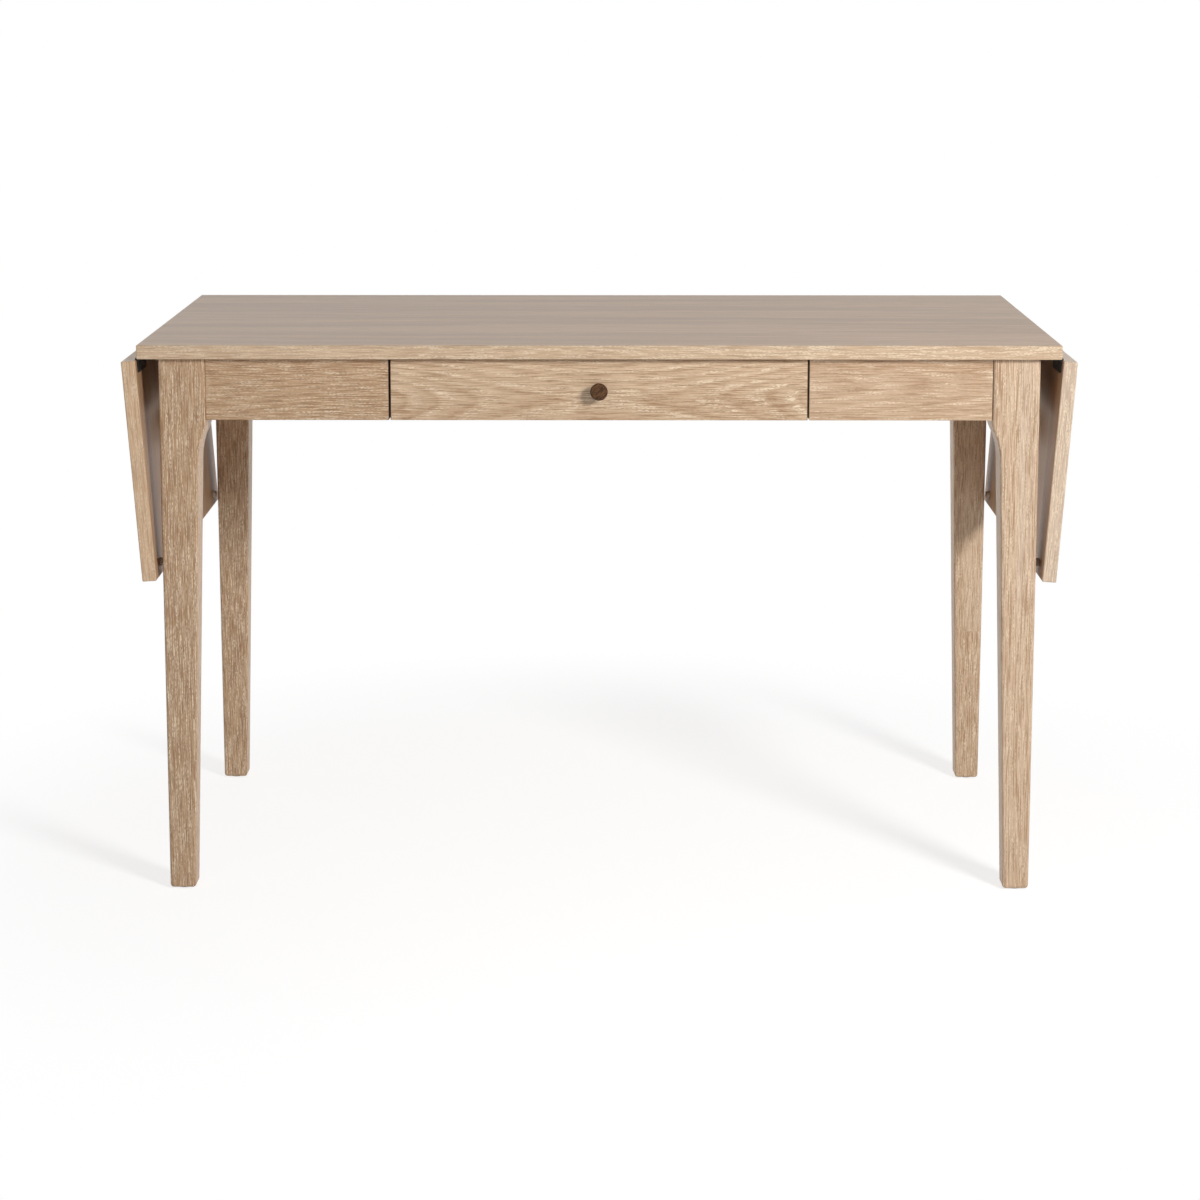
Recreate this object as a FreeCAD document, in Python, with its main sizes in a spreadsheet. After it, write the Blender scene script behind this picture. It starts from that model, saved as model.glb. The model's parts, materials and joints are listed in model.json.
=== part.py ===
import FreeCAD, Part
import math
import os
from types import SimpleNamespace

import Sketcher

# Extendable desk: a four-legged writing desk with one drawer and a drop leaf at each end.
# Frame: X to the right, Y to the back, Z up, origin on the floor under the middle of the top.
# Lengths are millimetres. The leaves are drawn hanging, as they rest.

doc = FreeCAD.newDocument("extendable_desk")

driving_sizes = {
    # whole desk
    "top_width": 1224.0,
    "top_depth": 600.0,
    "desk_height": 750.0,
    "board_thickness": 19.0,
    "edge_ease": 1.6,
    # drop leaves
    "leaf_length": 298.0,
    "leaf_gap": 1.0,
    "pivot_drop": 1.3,
    "relief_play": 0.5,
    # legs
    "leg_inset_side": 26.5,
    "leg_inset_front": 11.5,
    "leg_width": 62.5,
    "leg_shank": 51.0,
    "leg_foot": 35.0,
    "leg_edge": 3.5,
    "foot_edge": 5.0,
    "haunch_below": 4.0,
    "haunch_height": 52.0,
    "haunch_share": 0.77,
    "glide_radius": 11.0,
    "glide_height": 1.5,
    "glide_lip": 0.6,
    # frame under the top
    "apron_height": 83.0,
    "apron_setback": 1.5,
    "side_setback": 16.0,
    "panel_ease": 0.8,
    "divider_thickness": 18.0,
    "divider_lap": 6.0,
    "rail_width": 60.0,
    "rail_thickness": 18.0,
    # corner joints of the legs
    "block_stand": 12.0,
    "block_thickness": 22.0,
    "block_height": 55.0,
    "bolt_radius": 4.0,
    "bolt_depth": 35.0,
    "bolt_tail": 14.0,
    "bolt_play": 0.3,
    "nut_width": 13.0,
    "nut_height": 6.5,
    "washer_radius": 8.5,
    "washer_height": 1.6,
    # angle brackets that hold the top
    "bracket_leg": 25.0,
    "bracket_width": 20.0,
    "bracket_sheet": 2.0,
    "bracket_hole": 2.2,
    "bracket_hole_along": 15.5,
    "back_bracket_pitch": 350.0,
    # drawer
    "drawer_width": 554.5,
    "drawer_gap": 2.0,
    "drawer_stop_gap": 0.5,
    "drawer_depth": 450.0,
    "drawer_side_height": 52.0,
    "drawer_side_thickness": 12.0,
    "drawer_lift": 8.0,
    "drawer_floor": 6.0,
    "groove_rise": 7.0,
    "groove_depth": 6.0,
    "groove_play": 0.2,
    "floor_play": 0.5,
    # telescopic slides
    "slide_length": 440.0,
    "slide_start": 6.0,
    "slide_thickness": 12.7,
    "slide_half_height": 17.5,
    "slide_wall": 1.2,
    "slide_outer_reach": 9.0,
    "slide_outer_lip": 3.6,
    "slide_middle_from": 2.0,
    "slide_middle_reach": 6.9,
    "slide_middle_inset": 1.9,
    "slide_middle_lip": 3.0,
    "slide_inner_reach": 4.2,
    "slide_inner_inset": 6.0,
    # knob
    "knob_radius": 11.7,
    "knob_base": 7.0,
    "knob_neck": 5.6,
    "knob_reach": 22.0,
    "knob_rim": 3.75,
    "knob_dome": 26.0,
    "knob_screw": 2.0,
    "knob_screw_play": 0.2,
    "knob_screw_head": 4.4,
    "knob_screw_head_height": 2.4,
    "knob_screw_end_gap": 1.0,
    # butt hinges
    "hinge_length": 64.0,
    "hinge_from_edge": 12.0,
    "hinge_wing": 18.0,
    "hinge_sheet": 1.8,
    "hinge_barrel": 3.0,
    "hinge_pin": 1.5,
    "hinge_knuckle": 21.0,
    "hinge_play": 0.3,
    "hinge_corner": 3.0,
    "hinge_screw_across": 11.5,
    "hinge_screw_pitch": 23.0,
    "pin_clearance": 0.05,
    # wood screws
    "screw_shank": 1.75,
    "screw_head": 3.4,
    "screw_length": 14.0,
    "screw_tip": 3.0,
    # rubber buffers on the leaves
    "buffer_radius": 6.0,
    "buffer_height": 5.0,
    "buffer_lip": 1.0,
    "buffer_from_end": 17.0,
    "buffer_from_edge": 47.0,
    # folding stays
    "stay_in": 30.0,
    "stay_drop": 45.0,
    "stay_reach": 100.0,
    "stay_stand": 9.5,
    "stay_link": 44.0,
    "stay_slack": 0.4,
    "stay_half_width": 7.0,
    "stay_sheet": 3.0,
    "stay_play": 0.3,
    "stay_pin": 3.0,
    "stay_head": 5.5,
    "stay_head_height": 1.8,
    "stay_lug": 8.0,
    "stay_plate": 2.5,
    "stay_foot_width": 26.0,
    "stay_foot_length": 44.0,
    "stay_foot_corner": 4.0,
    "stay_foot_hole": 2.2,
    "stay_foot_hole_in": 15.0,
    "stay_foot_hole_pitch": 27.0,
    "stay_from_middle": 110.0,
}

sheet = doc.addObject("Spreadsheet::Sheet", "Sizes")
for row, (alias, value) in enumerate(driving_sizes.items(), start=1):
    sheet.set(f"A{row}", alias)
    sheet.set(f"B{row}", str(value))
    sheet.setAlias(f"B{row}", alias)
doc.recompute()


class Size:
    """A length and the sheet expression that gives it, so both stay in step."""

    def __init__(self, value, text):
        self.value = float(value)
        self.text = text

    def __add__(self, other):
        other = as_size(other)
        return Size(self.value + other.value, f"({self.text} + {other.text})")

    def __sub__(self, other):
        other = as_size(other)
        return Size(self.value - other.value, f"({self.text} - {other.text})")

    def __mul__(self, other):
        other = as_size(other)
        return Size(self.value * other.value, f"({self.text} * {other.text})")

    def __truediv__(self, other):
        other = as_size(other)
        return Size(self.value / other.value, f"({self.text} / {other.text})")

    def __neg__(self):
        return Size(-self.value, f"(0 - {self.text})")

    def root(self):
        return Size(math.sqrt(self.value), f"sqrt({self.text})")

    def __radd__(self, other):
        return as_size(other) + self

    def __rsub__(self, other):
        return as_size(other) - self

    def __rmul__(self, other):
        return as_size(other) * self


def as_size(thing):
    if isinstance(thing, Size):
        return thing
    return Size(thing, repr(float(thing)))


d = SimpleNamespace(**{alias: Size(value, f"Sizes.{alias}") for alias, value in driving_sizes.items()})

# Planes that several pieces share
half_width = d.top_width / 2
half_depth = d.top_depth / 2
underside = d.desk_height - d.board_thickness
apron_low = underside - d.apron_height
leg_outer_x = half_width - d.leg_inset_side
leg_outer_y = half_depth - d.leg_inset_front
leg_inner_x = leg_outer_x - d.leg_width
leg_inner_y = leg_outer_y - d.leg_width
panel_outer_y = leg_outer_y - d.apron_setback
panel_inner_y = panel_outer_y - d.board_thickness
side_outer_x = leg_outer_x - d.side_setback
side_inner_x = side_outer_x - d.board_thickness
panel_end_x = d.drawer_width / 2 + d.drawer_gap
slide_plane = panel_end_x - d.divider_lap
axis_x = half_width + d.leaf_gap / 2
axis_z = underside - d.pivot_drop

x_axis = FreeCAD.Vector(1, 0, 0)
y_axis = FreeCAD.Vector(0, 1, 0)
z_axis = FreeCAD.Vector(0, 0, 1)
overshoot = 1.0  # how far a cutter reaches past what it cuts
tolerance = 0.01  # edges closer than this to a plane lie in it
subparts = []


# Helpers for bound sizes, places and sketches

def bind(thing, **sizes):
    for name, size in sizes.items():
        thing.setExpression(name, as_size(size).text)


def place(thing, x, y, z):
    for name, size in zip("xyz", (x, y, z)):
        thing.setExpression(f"Placement.Base.{name}", as_size(size).text)


def keep(thing, label):
    thing.Label = label
    subparts.append(thing)
    return thing


def turned(axis, degrees, centre=FreeCAD.Vector()):
    return FreeCAD.Placement(FreeCAD.Vector(), FreeCAD.Rotation(axis, degrees), centre)


def moved(x=0.0, y=0.0, z=0.0):
    place_at = [as_size(value).value for value in (x, y, z)]
    return FreeCAD.Placement(FreeCAD.Vector(*place_at), FreeCAD.Rotation())


def new_body(label):
    body = doc.addObject("PartDesign::Body", label)
    body.Label = label
    return body


def new_sketch(body, name, role):
    sketch = body.newObject("Sketcher::SketchObject", f"{body.Name}_{name}")
    plane = [feature for feature in body.Origin.OriginFeatures if feature.Role == role][0]
    sketch.AttachmentSupport = [(plane, "")]
    sketch.MapMode = "FlatFace"
    return sketch


def pin_point(sketch, edge, end, x, y):
    """Hold one sketch point at x, y from the sketch's origin."""
    vertical_axis, horizontal_axis = -2, -1
    for kind, size, zero_axis in (("DistanceX", x, vertical_axis), ("DistanceY", y, horizontal_axis)):
        size = as_size(size)
        if size.value == 0.0:
            sketch.addConstraint(Sketcher.Constraint("PointOnObject", edge, end, zero_axis))
        else:
            held = sketch.addConstraint(Sketcher.Constraint(kind, -1, 1, edge, end, size.value))
            sketch.setExpression(f"Constraints[{held}]", size.text)


def outline(sketch, corners):
    """Close a loop of lines and arcs. A corner is (x, y) or, where an arc leaves it, (x, y, radius):
    a positive radius turns left, a negative one right."""
    ends = []
    count = len(corners)
    first = sketch.GeometryCount
    for index, corner in enumerate(corners):
        following = corners[(index + 1) % count]
        start = FreeCAD.Vector(as_size(corner[0]).value, as_size(corner[1]).value, 0)
        finish = FreeCAD.Vector(as_size(following[0]).value, as_size(following[1]).value, 0)
        if len(corner) == 2:
            sketch.addGeometry(Part.LineSegment(start, finish), False)
            ends.append((1, 2))
            continue
        radius = abs(corner[2].value)
        side = math.copysign(1.0, corner[2].value)
        chord = finish - start
        height = math.sqrt(max(radius ** 2 - (chord.Length / 2) ** 2, 0.0))
        left = FreeCAD.Vector(-chord.y, chord.x, 0).normalize()
        centre = (start + finish) / 2 + left * (side * height)
        from_angle = math.atan2(start.y - centre.y, start.x - centre.x)
        to_angle = math.atan2(finish.y - centre.y, finish.x - centre.x)
        circle = Part.Circle(centre, z_axis, radius)
        if side > 0:
            sketch.addGeometry(Part.ArcOfCircle(circle, from_angle, to_angle), False)
            ends.append((1, 2))
        else:
            sketch.addGeometry(Part.ArcOfCircle(circle, to_angle, from_angle), False)
            ends.append((2, 1))
    for index, corner in enumerate(corners):
        following = (index + 1) % count
        sketch.addConstraint(Sketcher.Constraint(
            "Coincident", first + index, ends[index][1], first + following, ends[following][0]))
        pin_point(sketch, first + index, ends[index][0], corner[0], corner[1])
    for index, corner in enumerate(corners):
        if len(corner) == 3:
            radius = corner[2] if corner[2].value > 0 else -corner[2]
            held = sketch.addConstraint(Sketcher.Constraint("Radius", first + index, radius.value))
            sketch.setExpression(f"Constraints[{held}]", radius.text)


def rectangle(sketch, low_x, low_y, high_x, high_y):
    outline(sketch, [(low_x, low_y), (high_x, low_y), (high_x, high_y), (low_x, high_y)])


def rounded_rectangle(sketch, length, width, radius):
    none = as_size(0)
    outline(sketch, [
        (radius, none),
        (length - radius, none, radius),
        (length, radius),
        (length, width - radius, radius),
        (length - radius, width),
        (radius, width, radius),
        (none, width - radius),
        (none, radius, radius),
    ])


def ring(sketch, x, y, radius):
    centre = FreeCAD.Vector(as_size(x).value, as_size(y).value, 0)
    edge = sketch.addGeometry(Part.Circle(centre, z_axis, as_size(radius).value), False)
    pin_point(sketch, edge, 3, x, y)
    held = sketch.addConstraint(Sketcher.Constraint("Radius", edge, as_size(radius).value))
    sketch.setExpression(f"Constraints[{held}]", as_size(radius).text)


def pad(body, sketch, length):
    feature = body.newObject("PartDesign::Pad", f"{sketch.Name}_pad")
    feature.Profile = sketch
    bind(feature, Length=length)
    doc.recompute()
    return feature


def pocket(body, sketch, length=None, backwards=False):
    before = body.Shape.Volume
    feature = body.newObject("PartDesign::Pocket", f"{sketch.Name}_pocket")
    feature.Profile = sketch
    feature.Reversed = backwards
    if length is None:
        feature.Type = "ThroughAll"
    else:
        bind(feature, Length=length)
    doc.recompute()
    if body.Shape.Volume >= before - 1e-6:
        raise RuntimeError(f"{feature.Name} cuts nothing")
    return feature


def revolve(body, sketch):
    feature = body.newObject("PartDesign::Revolution", f"{sketch.Name}_turned")
    feature.Profile = sketch
    feature.ReferenceAxis = (sketch, ["V_Axis"])
    feature.Angle = 360.0
    doc.recompute()
    return feature


def round_edges(body, feature, radius, choose=None):
    rounding = body.newObject("PartDesign::Fillet", f"{feature.Name}_round")
    if choose is None:
        rounding.Base = (feature, ["Edge1"])
        rounding.UseAllEdges = True
    else:
        names = [f"Edge{i}" for i, edge in enumerate(feature.Shape.Edges, start=1) if choose(edge)]
        rounding.Base = (feature, names)
    bind(rounding, Radius=radius)
    doc.recompute()
    return rounding


def board(label, low, size, ease=None):
    """A plain board with eased edges, given by its low corner and its size."""
    body = new_body(label)
    sketch = new_sketch(body, "face", "XY_Plane")
    rectangle(sketch, 0, 0, size[0], size[1])
    blank = pad(body, sketch, size[2])
    if ease is not None:
        round_edges(body, blank, ease)
    place(body, *low)
    return body


def box(label, low, size):
    solid = doc.addObject("Part::Box", label)
    bind(solid, Length=size[0], Width=size[1], Height=size[2])
    place(solid, *low)
    return solid


def rod(label, low, radius, length, axis=z_axis):
    """A round bar along an axis, from its low end."""
    solid = doc.addObject("Part::Cylinder", label)
    solid.Placement = FreeCAD.Placement(FreeCAD.Vector(), FreeCAD.Rotation(z_axis, axis))
    bind(solid, Radius=radius, Height=length)
    place(solid, *low)
    return solid


def joined(label, pieces):
    whole = doc.addObject("Part::MultiFuse", label)
    whole.Shapes = pieces
    whole.Refine = True
    return whole


def together(label, pieces):
    whole = doc.addObject("Part::Compound", label)
    whole.Links = pieces
    return whole


def cut(label, base, tools):
    result = doc.addObject("Part::Cut", label)
    result.Base = base
    result.Tool = tools[0] if len(tools) == 1 else together(f"{label}_cutters", tools)
    doc.recompute()
    if result.Shape.Volume >= base.Shape.Volume - 1e-6:
        raise RuntimeError(f"{label} isn't cut")
    return result


def group(label, shape, places, mirrors=()):
    """Copies of one shape as separate solids in one node."""
    copies = []
    for spot in places:
        copy = shape.copy()
        copy.Placement = spot.multiply(copy.Placement)
        copies.append(copy)
    for normals in mirrors:
        copy = shape.copy()
        for normal in normals:
            copy = copy.mirror(FreeCAD.Vector(), normal)
        copies.append(copy)
    feature = doc.addObject("Part::Feature", f"{label}_group")
    feature.Shape = Part.makeCompound(copies)
    return keep(feature, label)


# Rest pose of a leaf: it hangs with its weight under the hinge axis, so it leans in a little
lean = math.atan2(
    (d.pivot_drop + d.board_thickness / 2).value,
    (d.leaf_gap / 2 + d.leaf_length / 2).value,
)
swing = math.degrees(lean) + 90.0
hinge_point = FreeCAD.Vector(axis_x.value, 0, axis_z.value)
hang = turned(y_axis, swing, hinge_point)
at_hinge = moved(axis_x, 0, axis_z)
sides = {"right": turned(z_axis, 0.0), "left": turned(z_axis, 180.0)}

hinge_y = half_depth - d.hinge_from_edge - d.hinge_length / 2
ends = (-1, 1)


# Tabletop and leaves, with a round relief for each hinge barrel

def barrel_reliefs(name, x):
    reliefs = []
    for end, where in zip(ends, ("front", "back")):
        low_y = end * hinge_y - d.hinge_length / 2 - d.relief_play
        reliefs.append(rod(f"{name}_relief_{where}", (x, low_y, axis_z), d.hinge_barrel + d.relief_play,
                           d.hinge_length + 2 * d.relief_play, y_axis))
    return reliefs


def make_tabletop():
    blank = board(
        "tabletop_board",
        (-half_width, -half_depth, underside),
        (d.top_width, d.top_depth, d.board_thickness),
        d.edge_ease,
    )
    cutters = barrel_reliefs("tabletop_left", -axis_x) + barrel_reliefs("tabletop_right", axis_x)
    keep(cut("tabletop_cut", blank, cutters), "tabletop")


def make_leaf(side):
    blank = board(
        f"{side}_leaf_board",
        (half_width + d.leaf_gap, -half_depth, underside),
        (d.leaf_length, d.top_depth, d.board_thickness),
        d.edge_ease,
    )
    leaf = cut(f"{side}_leaf_cut", blank, barrel_reliefs(f"{side}_leaf", axis_x))
    leaf.Placement = sides[side].multiply(hang)
    keep(leaf, f"{side}_leaf")


# Legs: straight outer faces, inner faces that taper and swell into a haunch under the apron

def leg_curve():
    """Inner line of a leg from floor to haunch, as width and height above the foot."""
    foot_up = d.glide_height
    haunch_top = apron_low - d.haunch_below - foot_up
    haunch_low = haunch_top - d.haunch_height
    out = d.leg_width - d.leg_shank
    up = d.haunch_height
    both_radii = (out * out + up * up) / (2 * out)
    hollow = both_radii * d.haunch_share
    swell = both_radii * (1 - d.haunch_share)
    return [
        (d.leg_foot, as_size(0)),
        (d.leg_shank, haunch_low, -hollow),
        (d.leg_shank + out * d.haunch_share, haunch_low + up * d.haunch_share, swell),
        (d.leg_width, haunch_top),
    ]


def make_leg(label, corner_x, corner_y, quarter_turns):
    length = underside - d.glide_height
    body = new_body(label)
    front = new_sketch(body, "front_profile", "XZ_Plane")
    outline(front, [(0, 0)] + leg_curve() + [(d.leg_width, length), (0, length)])
    blank = pad(body, front, d.leg_width)
    blank.Reversed = True
    doc.recompute()
    waste = new_sketch(body, "side_waste", "YZ_Plane")
    curve = leg_curve()
    past_width = d.leg_width + overshoot
    outline(waste, curve + [
        (past_width, curve[-1][1]),
        (past_width, as_size(-overshoot)),
        (d.leg_foot, as_size(-overshoot)),
    ])
    shaped = pocket(body, waste, backwards=True)
    footed = round_edges(body, shaped, d.foot_edge, lambda edge: edge.BoundBox.ZMax < tolerance)
    upright = d.foot_edge.value
    round_edges(body, footed, d.leg_edge, lambda edge: edge.BoundBox.ZLength > upright)
    body.Placement = turned(z_axis, 90.0 * quarter_turns)
    place(body, corner_x, corner_y, d.glide_height)
    keep(body, label)


def make_legs():
    make_leg("front_left_leg", -leg_outer_x, -leg_outer_y, 0)
    make_leg("front_right_leg", leg_outer_x, -leg_outer_y, 1)
    make_leg("back_right_leg", leg_outer_x, leg_outer_y, 2)
    make_leg("back_left_leg", -leg_outer_x, leg_outer_y, 3)


def make_glides():
    body = new_body("foot_glide")
    sketch = new_sketch(body, "half", "XZ_Plane")
    outline(sketch, [
        (as_size(0), as_size(0)),
        (d.glide_radius - d.glide_lip, as_size(0)),
        (d.glide_radius, d.glide_lip),
        (d.glide_radius, d.glide_height),
        (as_size(0), d.glide_height),
    ])
    revolve(body, sketch)
    middle_x = leg_outer_x - d.leg_foot / 2
    middle_y = leg_outer_y - d.leg_foot / 2
    group("foot_glides", body.Shape, [moved(a * middle_x, b * middle_y, 0) for a in ends for b in ends])


# Frame boards under the top

def make_frame_boards():
    panel_length = leg_inner_x - panel_end_x
    panel = (panel_length, d.board_thickness, d.apron_height)
    keep(board("front_panel_left", (-leg_inner_x, -panel_outer_y, apron_low), panel, d.panel_ease),
         "front_panel_left")
    keep(board("front_panel_right", (panel_end_x, -panel_outer_y, apron_low), panel, d.panel_ease),
         "front_panel_right")
    keep(board("back_apron", (-leg_inner_x, panel_inner_y, apron_low),
               (2 * leg_inner_x, d.board_thickness, d.apron_height), d.panel_ease), "back_apron")
    side = (d.board_thickness, 2 * leg_inner_y, d.apron_height)
    keep(board("side_apron_left", (-side_outer_x, -leg_inner_y, apron_low), side, d.panel_ease),
         "side_apron_left")
    keep(board("side_apron_right", (side_inner_x, -leg_inner_y, apron_low), side, d.panel_ease),
         "side_apron_right")
    divider = (d.divider_thickness, 2 * panel_inner_y, d.apron_height)
    keep(board("drawer_divider_left", (-slide_plane - d.divider_thickness, -panel_inner_y, apron_low),
               divider, d.panel_ease), "drawer_divider_left")
    keep(board("drawer_divider_right", (slide_plane, -panel_inner_y, apron_low), divider, d.panel_ease),
         "drawer_divider_right")
    keep(board("front_top_rail", (-slide_plane, d.drawer_gap - panel_inner_y, underside - d.rail_thickness),
               (2 * slide_plane, d.rail_width, d.rail_thickness), d.panel_ease), "front_top_rail")


# Knock-down corner joints: a block across each corner, a bolt from the leg and a nut on it

def make_corner_joints():
    diagonal = math.sqrt(2.0)
    near = d.block_stand * diagonal
    far = (d.block_stand + d.block_thickness) * diagonal
    past_panel = panel_inner_y - leg_inner_y
    past_side = side_inner_x - leg_inner_x
    block_low = underside - d.block_height - d.rail_thickness
    block_middle = block_low + d.block_height / 2
    body = new_body("corner_block")
    sketch = new_sketch(body, "plan", "XY_Plane")
    outline(sketch, [
        (near + past_panel, -past_panel),
        (far + past_panel, -past_panel),
        (-past_side, far + past_side),
        (-past_side, near + past_side),
    ])
    pad(body, sketch, d.block_height)
    place(body, -leg_inner_x, -leg_inner_y, block_low)
    along = FreeCAD.Vector(1, 1, 0)
    bore = doc.addObject("Part::Cylinder", "corner_block_bore")
    bore.Placement = FreeCAD.Placement(FreeCAD.Vector(), FreeCAD.Rotation(z_axis, along))
    bind(bore, Radius=d.bolt_radius + d.bolt_play, Height=(d.block_stand + d.block_thickness) * 2)
    place(bore, -leg_inner_x, -leg_inner_y, block_middle)
    block = cut("corner_block_bored", body, [bore])
    corners = [(), (x_axis,), (y_axis,), (x_axis, y_axis)]
    group("corner_blocks", block.Shape, [], corners)

    spot = FreeCAD.Placement(
        FreeCAD.Vector(-leg_inner_x.value, -leg_inner_y.value, block_middle.value),
        FreeCAD.Rotation(z_axis, along),
    )
    reach = d.block_stand + d.block_thickness
    bolt = rod("hanger_bolt", (0, 0, -d.bolt_depth), d.bolt_radius, d.bolt_depth + reach + d.bolt_tail)
    washer = rod("nut_washer", (0, 0, reach), d.washer_radius, d.washer_height)
    nut = doc.addObject("Part::Prism", "hex_nut")
    nut.Polygon = 6
    bind(nut, Circumradius=d.nut_width / math.sqrt(3.0), Height=d.nut_height)
    place(nut, 0, 0, reach + d.washer_height)
    hole = rod("nut_hole", (0, 0, 0), d.bolt_radius, 2 * reach)
    seated = cut("hex_nut_on_washer", joined("nut_and_washer", [washer, nut]), [hole])
    doc.recompute()
    for label, piece in (("hanger_bolts", bolt), ("hanger_nuts", seated)):
        shape = piece.Shape.copy()
        shape.Placement = spot.multiply(shape.Placement)
        group(label, shape, [], corners)


def make_top_brackets():
    body = new_body("top_bracket")
    sketch = new_sketch(body, "angle", "YZ_Plane")
    outline(sketch, [
        (as_size(0), as_size(0)),
        (as_size(0), -d.bracket_leg),
        (d.bracket_sheet, -d.bracket_leg),
        (d.bracket_sheet, -d.bracket_sheet),
        (d.bracket_leg, -d.bracket_sheet),
        (d.bracket_leg, as_size(0)),
    ])
    pad(body, sketch, d.bracket_width)
    half = d.bracket_width / 2
    top_hole = new_sketch(body, "top_hole", "XY_Plane")
    ring(top_hole, half, d.bracket_hole_along, d.bracket_hole)
    pocket(body, top_hole)
    side_hole = new_sketch(body, "side_hole", "XZ_Plane")
    ring(side_hole, half, -d.bracket_hole_along, d.bracket_hole)
    pocket(body, side_hole)
    spread_front = (panel_end_x + leg_inner_x) / 2
    spots = [moved(a * spread_front - half, -panel_inner_y, underside) for a in ends]
    spots += [moved(a * d.back_bracket_pitch + half, panel_inner_y, underside).multiply(turned(z_axis, 180.0))
              for a in (-1, 0, 1)]
    spots.append(moved(side_inner_x, -half, underside).multiply(turned(z_axis, 90.0)))
    spots.append(moved(-side_inner_x, half, underside).multiply(turned(z_axis, -90.0)))
    group("top_brackets", body.Shape, spots)


# Drawer

drawer_low = apron_low + d.drawer_lift
drawer_outer_x = slide_plane - d.slide_thickness
drawer_inner_x = drawer_outer_x - d.drawer_side_thickness
groove_z = drawer_low + d.groove_rise
groove_height = d.drawer_floor + d.groove_play
drawer_front_y = -panel_inner_y - d.drawer_stop_gap
drawer_end_y = drawer_front_y + d.drawer_depth


def make_drawer():
    front_height = d.apron_height - d.drawer_gap
    front = board("drawer_front_board", (-d.drawer_width / 2, -panel_outer_y, apron_low),
                  (d.drawer_width, d.board_thickness - d.drawer_stop_gap, front_height), d.panel_ease)
    floor_slot = box("drawer_front_groove", (-drawer_outer_x, drawer_front_y - d.groove_depth, groove_z),
                     (2 * drawer_outer_x, 2 * d.groove_depth, groove_height))
    knob_z = apron_low + front_height / 2
    knob_hole = rod("knob_hole", (0, -panel_outer_y - overshoot, knob_z), d.knob_screw + d.knob_screw_play,
                    d.board_thickness + 2 * overshoot, y_axis)
    keep(cut("drawer_front_cut", front, [floor_slot, knob_hole]), "drawer_front")

    side_size = (d.drawer_side_thickness, d.drawer_depth, d.drawer_side_height)
    for label, low_x, slot_x in (
        ("drawer_side_left", -drawer_outer_x, -drawer_inner_x - d.groove_depth),
        ("drawer_side_right", drawer_inner_x, drawer_inner_x - d.groove_depth),
    ):
        blank = board(f"{label}_board", (low_x, drawer_front_y, drawer_low), side_size, d.panel_ease)
        slot = box(f"{label}_groove", (slot_x, drawer_front_y - overshoot, groove_z),
                   (2 * d.groove_depth, d.drawer_depth + 2 * overshoot, groove_height))
        keep(cut(f"{label}_cut", blank, [slot]), label)

    back_low = groove_z + groove_height
    keep(board("drawer_back", (-drawer_inner_x, drawer_end_y - d.drawer_side_thickness, back_low),
               (2 * drawer_inner_x, d.drawer_side_thickness,
                drawer_low + d.drawer_side_height - back_low), d.panel_ease), "drawer_back")
    floor_in = d.groove_depth - d.floor_play
    keep(box("drawer_bottom", (-drawer_inner_x - floor_in, drawer_front_y - floor_in,
                               groove_z + d.groove_play / 2),
             (2 * drawer_inner_x + 2 * floor_in, d.drawer_depth + floor_in, d.drawer_floor)),
         "drawer_bottom")
    make_knob(knob_z)


def make_knob(knob_z):
    """Turned knob: a small foot, a cove for a neck, and a wide head with a rounded rim and a low dome."""
    crown = d.knob_radius - d.knob_rim
    dome_to_rim = d.knob_dome - d.knob_rim
    dome_up = (dome_to_rim * dome_to_rim - crown * crown).root()
    dome_centre = d.knob_reach - d.knob_dome
    rim_height = dome_centre + dome_up
    head_low = rim_height - d.knob_rim
    waist_height = head_low / 2
    flare_out = crown - d.knob_neck
    flare_up = head_low - waist_height
    flare = (flare_out * flare_out + flare_up * flare_up) / (2 * flare_up)
    screw_depth = head_low
    body = new_body("drawer_knob")
    sketch = new_sketch(body, "half", "XZ_Plane")
    outline(sketch, [
        (d.knob_screw, as_size(0)),
        (d.knob_base, as_size(0)),
        (d.knob_neck, waist_height, -flare),
        (crown, head_low, d.knob_rim),
        (d.knob_radius, rim_height, d.knob_rim),
        (crown * d.knob_dome / dome_to_rim, dome_centre + dome_up * d.knob_dome / dome_to_rim, d.knob_dome),
        (as_size(0), d.knob_reach),
        (as_size(0), screw_depth),
        (d.knob_screw, screw_depth),
    ])
    revolve(body, sketch)
    body.Placement = turned(x_axis, 90.0)
    place(body, 0, -panel_outer_y, knob_z)
    keep(body, "drawer_knob")

    through_front = d.board_thickness - d.drawer_stop_gap
    shank = rod("knob_screw_shank", (0, 0, 0), d.knob_screw,
                through_front + screw_depth - d.knob_screw_end_gap)
    head = rod("knob_screw_head", (0, 0, -d.knob_screw_head_height), d.knob_screw_head,
               d.knob_screw_head_height)
    screw = joined("knob_screw_whole", [shank, head])
    screw.Placement = FreeCAD.Placement(FreeCAD.Vector(), FreeCAD.Rotation(x_axis, 90.0))
    place(screw, 0, drawer_front_y, knob_z)
    keep(screw, "knob_screw")


# Telescopic slides: three nested channels on each side of the drawer

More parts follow.
